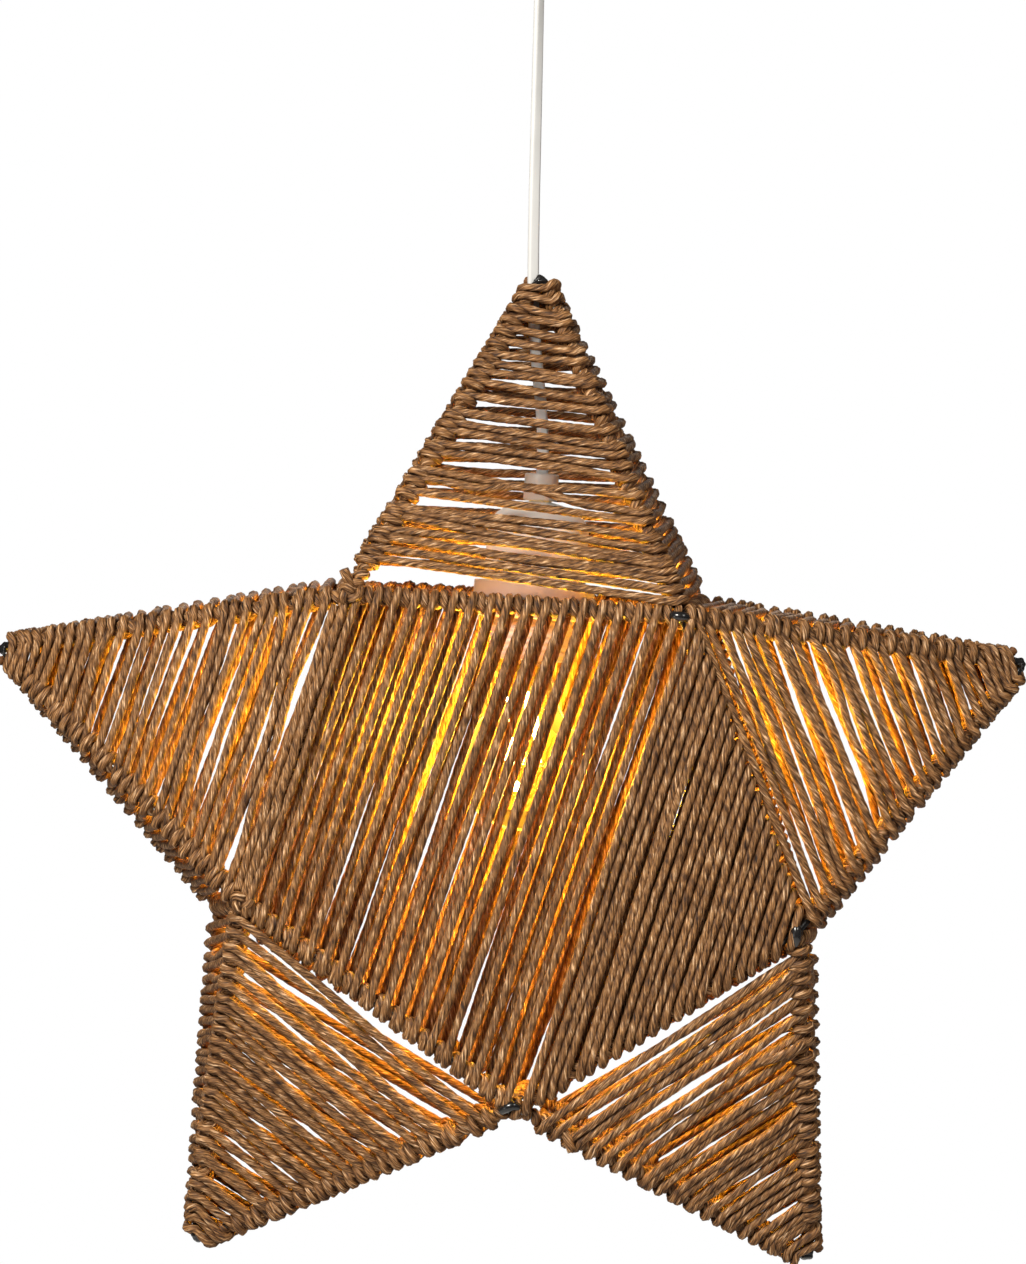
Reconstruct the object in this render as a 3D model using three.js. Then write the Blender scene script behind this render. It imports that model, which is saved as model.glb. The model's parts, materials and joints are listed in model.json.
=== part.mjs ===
// A hanging star lamp: a welded wire frame wound with paper rope, with a bulb inside.
// Millimetres, +Z up, the star's front looks along -Y, the origin is on the ceiling.
import * as THREE from 'three';

// Driving dimensions of the star
const tipRadius = 250;
const frontRingRadius = 130;
const backRingRadius = 140;
const starDepth = 120;
const starDrop = 440;
const wireDiameter = 4;
const wireBend = 3;
const ropeDiameter = 4;
const frontWrapPitch = 9.3;
const backWrapPitch = 10.4;
const sideWrapPitch = 15.5;
const fitGap = 0.3;
const spokeDiameter = 3;

// The flex: two cores side by side in one flat white sheath
const flexWidth = 5.5;
const flexThickness = 3.2;
const flexClearance = 0.5;
const coreDiameter = 1.6;
const coreDrop = 5.5;

// The screw cap of the bulb and what holds it
const capRadius = 13.2;
const capLength = 22;
const capThread = 0.7;
const capWall = 0.9;
const capRidges = 5;
const runningGap = 0.4;
const shellWall = 0.6;
const shellLength = 22;
const skirtWall = 4.2;
const skirtThread = 0.7;
const skirtRidges = 9;
const skirtLength = 27.5;
const flangeBrim = 8.6;
const flangeHeight = 8;
const washerBrim = 4.5;
const washerThickness = 1.5;
const shadeRingHeight = 7;
const edgeChamfer = 1;

// The lampholder above its flange
const holderCapRadius = 23.8;
const holderCapWall = 2;
const holderCapSide = 24;
const holderDomeHeight = 14;
const nippleRadius = 8;
const nippleNeckRadius = 5.2;
const nippleNeckLength = 4;
const nippleHeight = 12.5;
const blockHeight = 9;
const blockBelow = 2.5;
const terminalRadius = 1.9;
const terminalHeadRadius = 3;
const terminalHeadHeight = 2;
const terminalSpread = 6.5;
const tongueThickness = 0.6;
const tongueWidth = 5;
const tongueLength = 9;
const sideTongueLength = 3;
const sideTonguePlace = 9.5;

// The bulb
const bulbRadius = 30;
const bulbLength = 104;
const glassWall = 0.8;
const insulatorHeight = 3.4;
const insulatorTopRadius = 5;
const buttonRadius = 4.5;
const buttonHeight = 0.6;
const neckSeat = 5;
const stemRodRadius = 1.6;
const stemShoulderRadius = 4.5;
const stemShoulderDrop = 16;
const spiderArm = 10;
const spiderThickness = 0.8;
const spiderWidth = 1.6;
const filamentRadius = 0.9;
const filamentLength = 34;
const filamentCount = 4;
const filamentLean = 0.14;

// The ceiling rose
const roseRadius = 42;
const roseMouthRadius = 22;
const roseDepth = 32;
const roseWall = 2.2;
const roseBaseThickness = 5;
const roseScrewSpread = 24;
const roseScrewRadius = 2;
const roseScrewHeadRadius = 4;
const roseScrewHeadHeight = 2;
const blockWide = 22;
const blockDeep = 10;
const blockTall = 9;
const glandRadius = 9;
const glandNeckRadius = 7;
const glandNeckLength = 5;
const glandHeight = 8;
const glandWall = 1.2;
const glandMouth = 1.8;
const swayRoom = 0.8;
const swayDepth = 1;

// Where the holder hangs in the star: it leans with the top edges of the two rings
const holderSide = 4.2;
const holderLift = 101.5;
const holderLean = THREE.MathUtils.degToRad(2.5);

// Counts
const roundSides = 24;
const wireSides = 8;
const ropeSides = 6;
const flexSides = 10;
const bendSteps = 4;
const domeSteps = 6;
const bulbSteps = 9;
const neckSteps = 4;
const armLoopCount = 24;

// Places of the hand-bent corners and tips, clockwise from the top, each as [across, up].
// A tip lies between the corner before it in the list and the corner with its own number.
const tipShares = [[0.015, 1.003], [0.929, 0.31], [0.558, -0.803], [-0.582, -0.796], [-0.969, 0.293]];
const frontCornerShares = [[0.555, 0.738], [0.986, -0.361], [0.009, -1], [-0.965, -0.306], [-0.619, 0.783]];
const backCornerShares = [[0.604, 0.727], [0.992, -0.383], [0.054, -0.956], [-1.016, -0.34], [-0.599, 0.76]];
const armNames = ['top', 'right', 'lower_right', 'lower_left', 'left'];
const cornerNames = ['top_right', 'right', 'bottom', 'left', 'top_left'];

// The rope's last turn on an arm lies this many wire bends short of the tip
const armStopShare = 3;
// Two places on a rope count as apart when this many diameters of rope lie between them
const apartShare = 3;
// Of the bulb's glass, the stretch that is a plain ball, in turns from the lower pole
const ballShare = 0.39;
// The flared top of the bulb's stem is this share of its seat in the neck
const stemFlareShare = 0.35;

// Route of the flex in real places, from the holder's terminals up to the ceiling rose
const flexRoute = [
  [6.03, 0, -296.5], [6.42, 0, -287.5], [6.81, 0, -278.5], [6.95, 0, -268], [6.4, 0, -255],
  [5.2, 0, -243], [3.7, 0, -231], [2.3, 0, -219], [1.3, 0, -208], [0.7, 0, -197],
  [0.4, 0, -185], [0.2, 0, -172], [0.1, 0, -159], [0, 0, -146], [0, 0, -133], [0, 0, -120],
  [0, 0, -107], [0, 0, -94], [0, 0, -81], [0, 0, -68], [0, 0, -55], [0, 0, -44], [0, 0, -34],
];

const wireRadius = wireDiameter / 2;
const ropeRadius = ropeDiameter / 2;
const spokeRadius = spokeDiameter / 2;
// From the middle of a wire to the middle of the rope on it, and to the rope's outside
const ropeSeat = wireRadius + fitGap + ropeRadius;
const wrapReach = ropeSeat + ropeRadius;
const armStart = wrapReach + ropeDiameter;
const armStop = armStopShare * wireBend;

const looks = {
  wire: new THREE.MeshStandardMaterial({ color: 0x14110f, roughness: 0.35, metalness: 0.4 }),
  rope: new THREE.MeshStandardMaterial({ color: 0x9a7648, roughness: 0.85, metalness: 0 }),
  plastic: new THREE.MeshStandardMaterial({ color: 0xf1ece4, roughness: 0.4, metalness: 0 }),
  flex: new THREE.MeshStandardMaterial({ color: 0xf2f2f0, roughness: 0.45, metalness: 0 }),
  brass: new THREE.MeshStandardMaterial({ color: 0xc9a24a, roughness: 0.3, metalness: 1 }),
  nickel: new THREE.MeshStandardMaterial({ color: 0xc8c8c4, roughness: 0.3, metalness: 1 }),
  block: new THREE.MeshStandardMaterial({ color: 0xe6e2d8, roughness: 0.6, metalness: 0 }),
  blackGlass: new THREE.MeshStandardMaterial({ color: 0x18181a, roughness: 0.2, metalness: 0 }),
  glass: new THREE.MeshStandardMaterial({
    color: 0xffe9c4, roughness: 0.05, transparent: true, opacity: 0.35,
  }),
  filament: new THREE.MeshStandardMaterial({ color: 0xffc35a, emissive: 0xff9a20, roughness: 0.5 }),
  liveSheath: new THREE.MeshStandardMaterial({ color: 0x6a4326, roughness: 0.5, metalness: 0 }),
  neutralSheath: new THREE.MeshStandardMaterial({ color: 0x2f6fb0, roughness: 0.5, metalness: 0 }),
};

function piece(parent, name, geometry, look) {
  const mesh = new THREE.Mesh(geometry, look);
  mesh.name = name;
  parent.add(mesh);
  return mesh;
}

function group(parent) {
  const made = new THREE.Group();
  parent.add(made);
  return made;
}

const vector = (x, y, z) => new THREE.Vector3(x, y, z);
const between = (from, to, share) => from.clone().lerp(to, share);
const towards = (from, to) => to.clone().sub(from).normalize();

// A round bar or ring: the outline of its half section is turned about Z
function turned(outline, segments = roundSides) {
  const points = outline.map(([radius, height]) => new THREE.Vector2(radius, height));
  return new THREE.LatheGeometry(points, segments).rotateX(Math.PI / 2);
}

function closedTurned(outline, segments = roundSides) {
  return turned([...outline, outline[0]], segments);
}

// A plate of even thickness that lies on z = 0, with round holes given as [x, y, radius]
function plate(shape, thickness, holes = []) {
  for (const [x, y, radius] of holes) {
    const hole = new THREE.Path();
    hole.absarc(x, y, radius, 0, 2 * Math.PI, true);
    shape.holes.push(hole);
  }
  const settings = { depth: thickness, bevelEnabled: false, curveSegments: roundSides / 2 };
  return new THREE.ExtrudeGeometry(shape, settings);
}

function disc(radius) {
  const shape = new THREE.Shape();
  shape.absarc(0, 0, radius, 0, 2 * Math.PI, false);
  return shape;
}

function roundSection(radius, sides) {
  return Array.from({ length: sides }, (_, i) => {
    const angle = (2 * Math.PI * i) / sides;
    return [radius * Math.cos(angle), radius * Math.sin(angle)];
  });
}

// Two half circles with flats between them, wide along the second axis
function flatSection(width, thickness, sides) {
  const reach = thickness / 2;
  const offset = (width - thickness) / 2;
  return Array.from({ length: sides }, (_, i) => {
    const angle = (2 * Math.PI * (i + 1 / 2)) / sides;
    return [reach * Math.cos(angle), offset * Math.sign(Math.sin(angle)) + reach * Math.sin(angle)];
  });
}

// A solid bar of one section along straight runs, mitred where two runs meet
function swept(path, section, closed = false) {
  const count = path.length;
  const runs = closed ? count : count - 1;
  const headings = [];
  for (let i = 0; i < runs; i += 1) {
    headings.push(towards(path[i], path[(i + 1) % count]));
  }
  const steep = Math.abs(headings[0].y) > Math.SQRT1_2;
  const guide = steep ? vector(1, 0, 0) : vector(0, 1, 0);
  let side = guide.sub(headings[0].clone().multiplyScalar(guide.dot(headings[0]))).normalize();
  const positions = [];
  for (let i = 0; i < count; i += 1) {
    const coming = headings[closed ? (i + runs - 1) % runs : Math.max(i - 1, 0)];
    const going = headings[Math.min(i, runs - 1)];
    if (i > 0) {
      side.applyQuaternion(new THREE.Quaternion().setFromUnitVectors(coming, going)).normalize();
    }
    const lift = going.clone().cross(side);
    const mitre = coming.clone().add(going).normalize();
    for (const [along, up] of section) {
      const reach = side.clone().multiplyScalar(along).addScaledVector(lift, up);
      reach.addScaledVector(going, -reach.dot(mitre) / going.dot(mitre));
      positions.push(...reach.add(path[i]).toArray());
    }
  }
  const sides = section.length;
  const faces = [];
  for (let i = 0; i < runs; i += 1) {
    const here = i * sides;
    const next = ((i + 1) % count) * sides;
    for (let j = 0; j < sides; j += 1) {
      const beside = (j + 1) % sides;
      faces.push(here + j, here + beside, next + beside);
      faces.push(here + j, next + beside, next + j);
    }
  }
  if (!closed) {
    const last = (count - 1) * sides;
    for (let j = 1; j < sides - 1; j += 1) {
      faces.push(0, j + 1, j);
      faces.push(last, last + j, last + j + 1);
    }
  }
  const geometry = new THREE.BufferGeometry();
  geometry.setAttribute('position', new THREE.Float32BufferAttribute(positions, 3));
  geometry.setIndex(faces);
  return geometry;
}

// Points round a corner of a bent wire, on an arc of the given radius
function arcAround(before, corner, after, radius) {
  const back = towards(corner, before);
  const ahead = towards(corner, after);
  const half = back.angleTo(ahead) / 2;
  const centre = corner.clone().addScaledVector(back.clone().add(ahead).normalize(), radius / Math.sin(half));
  const first = corner.clone().addScaledVector(back, radius / Math.tan(half)).sub(centre);
  const last = corner.clone().addScaledVector(ahead, radius / Math.tan(half)).sub(centre);
  const sweep = Math.PI - 2 * half;
  return Array.from({ length: bendSteps + 1 }, (_, i) => {
    const share = i / bendSteps;
    return first.clone().multiplyScalar(Math.sin((1 - share) * sweep) / Math.sin(sweep))
      .addScaledVector(last, Math.sin(share * sweep) / Math.sin(sweep)).add(centre);
  });
}

// The least gap between the rope and itself, measured on points along its middle line
function leastSelfGap(path) {
  const points = [];
  const travelled = [];
  let length = 0;
  for (let i = 0; i + 1 < path.length; i += 1) {
    const run = path[i].distanceTo(path[i + 1]);
    const steps = Math.ceil(run / ropeRadius);
    for (let j = 0; j < steps; j += 1) {
      points.push(between(path[i], path[i + 1], j / steps));
      travelled.push(length + (run * j) / steps);
    }
    length += run;
  }
  let least = Infinity;
  for (let i = 0; i < points.length; i += 1) {
    for (let j = i + 1; j < points.length; j += 1) {
      if (travelled[j] - travelled[i] > apartShare * ropeDiameter) {
        least = Math.min(least, points[i].distanceToSquared(points[j]));
      }
    }
  }
  return Math.sqrt(least) - ropeDiameter;
}

function wind(parent, name, path) {
  console.log(`${name}: least gap to itself ${leastSelfGap(path).toFixed(2)} mm`);
  return piece(parent, name, swept(path, roundSection(ropeRadius, ropeSides)), looks.rope);
}

const part = new THREE.Group();
const star = group(part);
star.position.z = -starDrop;

// The corners of the two rings and the tips
const half = starDepth / 2;
const placed = (shares, radius, depth) => shares.map(([x, z]) => vector(x * radius, depth, z * radius));
const frontCorners = placed(frontCornerShares, frontRingRadius, -half);
const backCorners = placed(backCornerShares, backRingRadius, half);
const tips = placed(tipShares, tipRadius, 0);
const before = (index) => (index + tips.length - 1) % tips.length;
const after = (index) => (index + 1) % tips.length;

function ringWire(parent, name, corners) {
  const path = corners.flatMap((corner, i) => (
    arcAround(corners[before(i)], corner, corners[after(i)], wireBend)
  ));
  piece(parent, name, swept(path, roundSection(wireRadius, wireSides), true), looks.wire);
}

// How far from a corner of a ring a wire that is welded to it has to end
function setBack(corners, index, heading) {
  const edges = [before(index), after(index)].map((other) => towards(corners[index], corners[other]));
  const angle = Math.min(...edges.map((edge) => edge.angleTo(heading)));
  return (wireRadius + fitGap + wireRadius * Math.cos(angle)) / Math.sin(angle);
}

// The four legs of an arm meet in two bends at its tip, the front pair's and the back pair's.
// Between the two bends of the top arm the flex comes out.
function armBend(corners, index) {
  const spread = index === 0 ? flexThickness / 2 + flexClearance : fitGap / 2;
  const away = Math.sign(corners[index].y);
  const apex = tips[index].clone().setY(away * (wireRadius + spread));
  const first = corners[before(index)];
  const last = corners[index];
  const heading = towards(between(first, last, 1 / 2), apex);
  const opening = towards(apex, first).angleTo(towards(apex, last)) / 2;
  return apex.addScaledVector(heading, wireBend / Math.sin(opening) - wireBend);
}

function armWire(parent, name, corners, index) {
  const bend = armBend(corners, index);
  const ends = [before(index), index].map((place) => {
    const heading = towards(corners[place], bend);
    return corners[place].clone().addScaledVector(heading, setBack(corners, place, heading));
  });
  const path = [ends[0], ...arcAround(ends[0], bend, ends[1], wireBend), ends[1]];
  piece(parent, name, swept(path, roundSection(wireRadius, wireSides)), looks.wire);
}

function strut(parent, name, index) {
  const heading = towards(frontCorners[index], backCorners[index]);
  const inset = (wireRadius + fitGap + wireRadius * Math.hypot(heading.x, heading.z)) / heading.y;
  const path = [
    frontCorners[index].clone().addScaledVector(heading, inset),
    backCorners[index].clone().addScaledVector(heading, -inset),
  ];
  piece(parent, name, swept(path, roundSection(wireRadius, wireSides)), looks.wire);
}

const frame = group(star);
ringWire(frame, 'front_ring_wire', frontCorners);
ringWire(frame, 'back_ring_wire', backCorners);
armNames.forEach((name, index) => {
  armWire(frame, `${name}_arm_front_wire`, frontCorners, index);
  armWire(frame, `${name}_arm_back_wire`, backCorners, index);
});
cornerNames.forEach((name, index) => strut(frame, `${name}_strut`, index));

// The four legs of an arm with the rope's offset from each: front left, front right,
// back right and back left, as seen from the front with the tip up
function armLegs(index) {
  const previous = before(index);
  const places = [
    [frontCorners, previous], [frontCorners, index], [backCorners, index], [backCorners, previous],
  ];
  const centre = between(between(frontCorners[previous], backCorners[index], 1 / 2), tips[index], 1 / 3);
  return places.map(([corners, place]) => {
    const root = corners[place];
    const bend = armBend(corners, index);
    const heading = towards(root, bend);
    const across = towards(root, corners[place === previous ? index : previous]);
    const through = towards(root, (corners === frontCorners ? backCorners : frontCorners)[place]);
    const normals = [across, through].map((other) => {
      const normal = heading.clone().cross(other).normalize();
      return normal.dot(root.clone().sub(centre)) < 0 ? normal.negate() : normal;
    });
    const reach = ropeSeat / (1 + normals[0].dot(normals[1]));
    const offset = normals[0].clone().add(normals[1]).multiplyScalar(reach);
    return { root, bend, offset, height: root.distanceTo(bend) * Math.sin(heading.angleTo(across)) };
  });
}

function armWinding(parent, name, index) {
  const legs = armLegs(index);
  const height = Math.min(...legs.map((leg) => leg.height));
  const first = armStart / height;
  const last = 1 - armStop / height;
  const turns = armLoopCount * legs.length;
  const path = Array.from({ length: turns + 1 }, (_, i) => {
    const leg = legs[i % legs.length];
    const share = first + ((last - first) * i) / turns;
    return between(leg.root, leg.bend, share).add(leg.offset);
  });
  wind(parent, name, path);
}

const windings = group(star);
armNames.forEach((name, index) => armWinding(windings, `${name}_arm_winding`, index));

// One edge of a ring, which the rope of a panel is wrapped over
function ringEdge(corners, from, to) {
  const start = corners[from];
  const end = corners[to];
  const heading = towards(start, end);
  const outward = heading.clone().cross(vector(0, 1, 0));
  if (outward.dot(start) < 0) {
    outward.negate();
  }
  return { start, heading, outward, length: start.distanceTo(end) };
}

// How many wraps of about the given pitch fit on an edge, clear of its corners
const wrapsThatFit = (edge, pitch) => Math.round((edge.length - 2 * wrapReach) / pitch);

// Wraps over an edge, kept clear of its corners
function edgeWraps(edge, count) {
  const pitch = (edge.length - 2 * wrapReach) / count;
  return Array.from({ length: count }, (_, i) => ({ edge, pitch, place: wrapReach + pitch * (i + 1 / 2) }));
}

// Where the rope of a wrap passes in front of the wire (face -1) or behind it (face 1)
function wrapPoint(wrap, shift, face) {
  const { edge, place, pitch } = wrap;
  return edge.start.clone()
    .addScaledVector(edge.heading, place + (shift * pitch) / 4)
    .addScaledVector(edge.outward, ropeSeat)
    .add(vector(0, face * ropeSeat, 0));
}

// The rope goes down in front, round the lower edge, up behind and over the upper edge
function panelPath(upper, lower) {
  return upper.flatMap((wrap, i) => [
    wrapPoint(wrap, -1, 1), wrapPoint(wrap, 1, -1), wrapPoint(lower[i], -1, -1), wrapPoint(lower[i], 1, 1),
  ]);
}

const [topRight, right, bottom, left, topLeft] = cornerNames.keys();

function panelEdges(corners) {
  return {
    upper: ringEdge(corners, topLeft, topRight),
    lower: ringEdge(corners, left, bottom),
    upperSide: ringEdge(corners, topRight, right),
    lowerSide: ringEdge(corners, bottom, right),
  };
}

// The front is wound all over. The back is left open at its right corner, for the hand that
// changes the bulb.
const front = panelEdges(frontCorners);
const back = panelEdges(backCorners);
const frontCount = wrapsThatFit(front.upper, frontWrapPitch);
const backCount = wrapsThatFit(back.upper, backWrapPitch);
const sideCount = wrapsThatFit(front.upperSide, sideWrapPitch);
const [frontUpper, frontLower] = [front.upper, front.lower].map((edge) => edgeWraps(edge, frontCount));
const [backUpper, backLower] = [back.upper, back.lower].map((edge) => edgeWraps(edge, backCount));
wind(windings, 'front_panel_winding', panelPath(
  [...frontUpper, ...edgeWraps(front.upperSide, sideCount)],
  [...frontLower, ...edgeWraps(front.lowerSide, sideCount)],
));
wind(windings, 'back_panel_winding', panelPath(backUpper, backLower));

// Radii of the round parts, from the bulb's cap outwards
const capRoot = capRadius - capThread;
const capInner = capRoot - capWall;
const neckRadius = capInner - fitGap;
const shellInner = capRadius + runningGap;
const shellOuter = shellInner + shellWall;
const skirtInner = shellOuter + fitGap;
const skirtRoot = skirtInner + skirtWall;
const skirtCrest = skirtRoot + skirtThread;
const ringInner = skirtCrest + runningGap;
const flangeRadius = ringInner + flangeBrim;
const washerRadius = flangeRadius + washerBrim;

// Heights in the holder, whose zero is the middle of the steel fitter ring
const seat = washerThickness / 2 + fitGap;
const flangeTop = seat + flangeHeight;
const capFoot = flangeTop + fitGap;
const shoulder = capFoot + holderCapSide;
const domeTop = shoulder + holderDomeHeight;
const nippleFoot = domeTop + fitGap;

const holder = group(star);
holder.position.set(holderSide, 0, holderLift);
holder.rotation.y = holderLean;

const washer = plate(disc(washerRadius), washerThickness, [[0, 0, ringInner]]);
piece(holder, 'fitter_ring', washer.translate(0, 0, -washerThickness / 2), looks.wire);

// A row of thread ridges on a cylinder, from low to high
function ridges(crest, root, low, high, count) {
  const pitch = (high - low) / count;
  return Array.from({ length: 2 * count }, (_, i) => [i % 2 ? root : crest, low + (pitch * (i + 1 / 2)) / 2]);
}

piece(holder, 'holder_skirt', closedTurned([
  [skirtInner, -skirtLength],
  [skirtRoot, -skirtLength],
  ...ridges(skirtCrest, skirtRoot, -skirtLength, 0, skirtRidges),
  [skirtRoot, seat],
  [flangeRadius - edgeChamfer, seat],
  [flangeRadius, seat + edgeChamfer],
  [flangeRadius, flangeTop - edgeChamfer],
  [flangeRadius - edgeChamfer, flangeTop],
  [skirtInner, flangeTop],
]), looks.plastic);

piece(holder, 'shade_ring', closedTurned([
  [ringInner, -seat - shadeRingHeight],
  [flangeRadius - edgeChamfer, -seat - shadeRingHeight],
  [flangeRadius, -seat - shadeRingHeight + edgeChamfer],
  [flangeRadius, -seat - edgeChamfer],
  [flangeRadius - edgeChamfer, -seat],
  [ringInner, -seat],
]), looks.plastic);

// Half the section of a dome from its foot to the hole at its top
function domeOutline(inset, foot, hole) {
  const radius = holderCapRadius - inset;
  const height = holderDomeHeight - inset;
  const end = Math.acos(hole / radius);
  return Array.from({ length: domeSteps + 1 }, (_, i) => {
    const angle = (end * i) / domeSteps;
    return [radius * Math.cos(angle), foot + (height * Math.sin(angle)) / Math.sin(end)];
  });
}

const capHole = nippleNeckRadius + fitGap;
piece(holder, 'holder_cap', closedTurned([
  [holderCapRadius, capFoot],
  ...domeOutline(0, shoulder, capHole),
  ...domeOutline(holderCapWall, shoulder, capHole).reverse(),
  [holderCapRadius - holderCapWall, capFoot],
]), looks.plastic);

const flexBore = flexWidth / 2 + fitGap;
piece(holder, 'holder_nipple', closedTurned([
  [flexBore, nippleFoot - nippleNeckLength],
  [nippleNeckRadius, nippleFoot - nippleNeckLength],
  [nippleNeckRadius, nippleFoot],
  [nippleRadius, nippleFoot],
  [nippleRadius, nippleFoot + nippleHeight - edgeChamfer],
  [nippleRadius - edgeChamfer, nippleFoot + nippleHeight],
  [flexBore, nippleFoot + nippleHeight],
]), looks.plastic);

const blockTop = blockHeight - blockBelow;
const terminalPlaces = [['live', 1, looks.liveSheath], ['neutral', -1, looks.neutralSheath]];
const terminalHoles = terminalPlaces.map(([, way]) => [way * terminalSpread, 0, terminalRadius + fitGap]);
const contactBlock = plate(disc(skirtInner - fitGap), blockHeight, terminalHoles);
piece(holder, 'contact_block', contactBlock.translate(0, 0, -blockBelow), looks.block);

const shellTop = -blockBelow - fitGap;
piece(holder, 'screw_shell', closedTurned([
  [shellInner, shellTop - shellLength],
  [shellOuter, shellTop - shellLength],
  [shellOuter, shellTop],
  [shellInner, shellTop],
]), looks.brass);

const tongueMiddle = shellTop - tongueThickness / 2;
const centreTongue = new THREE.BoxGeometry(tongueWidth, tongueLength, tongueThickness);
piece(holder, 'centre_contact', centreTongue.translate(0, 0, tongueMiddle), looks.brass);
const sideTongue = new THREE.BoxGeometry(sideTongueLength, tongueWidth, tongueThickness);
piece(holder, 'side_contact', sideTongue.translate(sideTonguePlace, 0, tongueMiddle), looks.brass);

// The flex ends inside the holder's dome, and its two cores go on to the screws
const flexEndHeight = nippleFoot - nippleNeckLength - coreDiameter;
const terminalTop = blockTop + fitGap + terminalHeadHeight;
const coreRadius = coreDiameter / 2;
for (const [name, way] of terminalPlaces) {
  const screw = turned([
    [0, -blockBelow + fitGap],
    [terminalRadius, -blockBelow + fitGap],
    [terminalRadius, blockTop + fitGap],
    [terminalHeadRadius, blockTop + fitGap],
    [terminalHeadRadius, terminalTop],
    [0, terminalTop],
  ], roundSides / 2);
  piece(holder, `terminal_screw_${name}`, screw.translate(way * terminalSpread, 0, 0), looks.brass);
}

for (const [name, way, look] of terminalPlaces) {
  const start = vector(way * (coreRadius + fitGap / 2), 0, flexEndHeight - fitGap);
  const corePath = [
    start,
    start.clone().add(vector(0, 0, -coreDrop)),
    vector(way * terminalSpread, 0, terminalTop + fitGap + 2 * coreDrop),
    vector(way * terminalSpread, 0, terminalTop + fitGap),
  ];
  piece(holder, `${name}_core`, swept(corePath, roundSection(coreRadius, ropeSides)), look);
}

// The bulb hangs from the cap's contact button downwards
const bulb = group(holder);
const buttonTop = tongueMiddle - tongueThickness / 2 - fitGap;
const insulatorTop = buttonTop - buttonHeight;
const insulatorFoot = insulatorTop - insulatorHeight;
const bulbCapTop = insulatorFoot - fitGap;
const bulbCapFoot = bulbCapTop - capLength;
const bulbPole = buttonTop - bulbLength;
const ballMiddle = bulbPole + bulbRadius;

piece(bulb, 'bulb_contact', turned([
  [0, insulatorTop + fitGap],
  [buttonRadius, insulatorTop + fitGap],
  [buttonRadius, buttonTop - buttonHeight / 4],
  [buttonRadius - buttonHeight, buttonTop],
  [0, buttonTop],
], roundSides / 2), looks.brass);
piece(bulb, 'bulb_insulator', turned([
  [0, insulatorFoot], [capRoot, insulatorFoot], [insulatorTopRadius, insulatorTop], [0, insulatorTop],
]), looks.blackGlass);
piece(bulb, 'bulb_cap', closedTurned([
  [capInner, bulbCapFoot],
  [capRoot, bulbCapFoot],
  ...ridges(capRadius, capRoot, bulbCapFoot + capWall, bulbCapTop - capWall, capRidges),
  [capRoot, bulbCapTop],
  [capInner, bulbCapTop],
]), looks.nickel);

// Half the section of the glass, from its lower pole to the top of its neck
function glassOutline(inset) {
  const end = 2 * Math.PI * ballShare - Math.PI / 2;
  const neckTop = bulbCapFoot + neckSeat;
  const ball = Array.from({ length: bulbSteps + 1 }, (_, i) => {
    const angle = -Math.PI / 2 + ((end + Math.PI / 2) * i) / bulbSteps;
    return [(bulbRadius - inset) * Math.cos(angle), ballMiddle + (bulbRadius - inset) * Math.sin(angle)];
  });
  ball[0][0] = 0;
  const [startRadius, startHeight] = ball[bulbSteps];
  const neck = Array.from({ length: neckSteps }, (_, i) => {
    const share = (i + 1) / neckSteps;
    const radius = neckRadius - inset;
    const rest = startRadius - radius;
    const height = startHeight + (bulbCapFoot - startHeight) * share;
    return [radius + rest * (1 - Math.sin((share * Math.PI) / 2)), height];
  });
  return [...ball, ...neck, [neckRadius - inset, neckTop]];
}
piece(bulb, 'bulb_glass', turned([...glassOutline(0), ...glassOutline(glassWall).reverse()]), looks.glass);

// The glass stem closes the neck and carries the filaments on a spider at its lower end
const stemTop = bulbCapFoot + neckSeat;
const stemFlare = neckRadius - glassWall - fitGap;
const shoulderHeight = stemTop - stemShoulderDrop;
const filamentTop = shoulderHeight - fitGap;
const spiderTop = filamentTop - filamentLength * Math.cos(filamentLean) - filamentRadius - fitGap;
piece(bulb, 'bulb_stem', turned([
  [0, spiderTop + fitGap],
  [stemRodRadius, spiderTop + fitGap],
  [stemRodRadius, shoulderHeight],
  [stemShoulderRadius, shoulderHeight],
  [stemShoulderRadius, shoulderHeight + stemShoulderRadius],
  [stemFlare, stemTop - stemFlareShare * neckSeat],
  [stemFlare, stemTop],
  [0, stemTop],
], roundSides / 2), looks.glass);

const spider = new THREE.Shape();
for (let arm = 0; arm < filamentCount; arm += 1) {
  const angle = (2 * Math.PI * arm) / filamentCount;
  const reach = spiderWidth / 2;
  const corners = [[reach, -reach], [spiderArm, -reach], [spiderArm, reach]];
  corners.forEach(([x, y], i) => {
    const across = x * Math.cos(angle) - y * Math.sin(angle);
    const up = x * Math.sin(angle) + y * Math.cos(angle);
    if (arm === 0 && i === 0) {
      spider.moveTo(across, up);
    } else {
      spider.lineTo(across, up);
    }
  });
}
spider.closePath();
const spiderPlate = plate(spider, spiderThickness);
piece(bulb, 'filament_spider', spiderPlate.translate(0, 0, spiderTop - spiderThickness), looks.nickel);

for (let i = 0; i < filamentCount; i += 1) {
  const angle = (2 * Math.PI * i) / filamentCount;
  const low = spiderArm - 2 * filamentRadius;
  const high = low - filamentLength * Math.sin(filamentLean);
  const foot = spiderTop + filamentRadius + fitGap;
  const path = [[low, foot], [high, foot + filamentLength * Math.cos(filamentLean) - filamentRadius]].map(
    ([reach, height]) => vector(reach * Math.cos(angle), reach * Math.sin(angle), height),
  );
  piece(bulb, `filament_${i + 1}`, swept(path, roundSection(filamentRadius, wireSides)), looks.filament);
}

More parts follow.
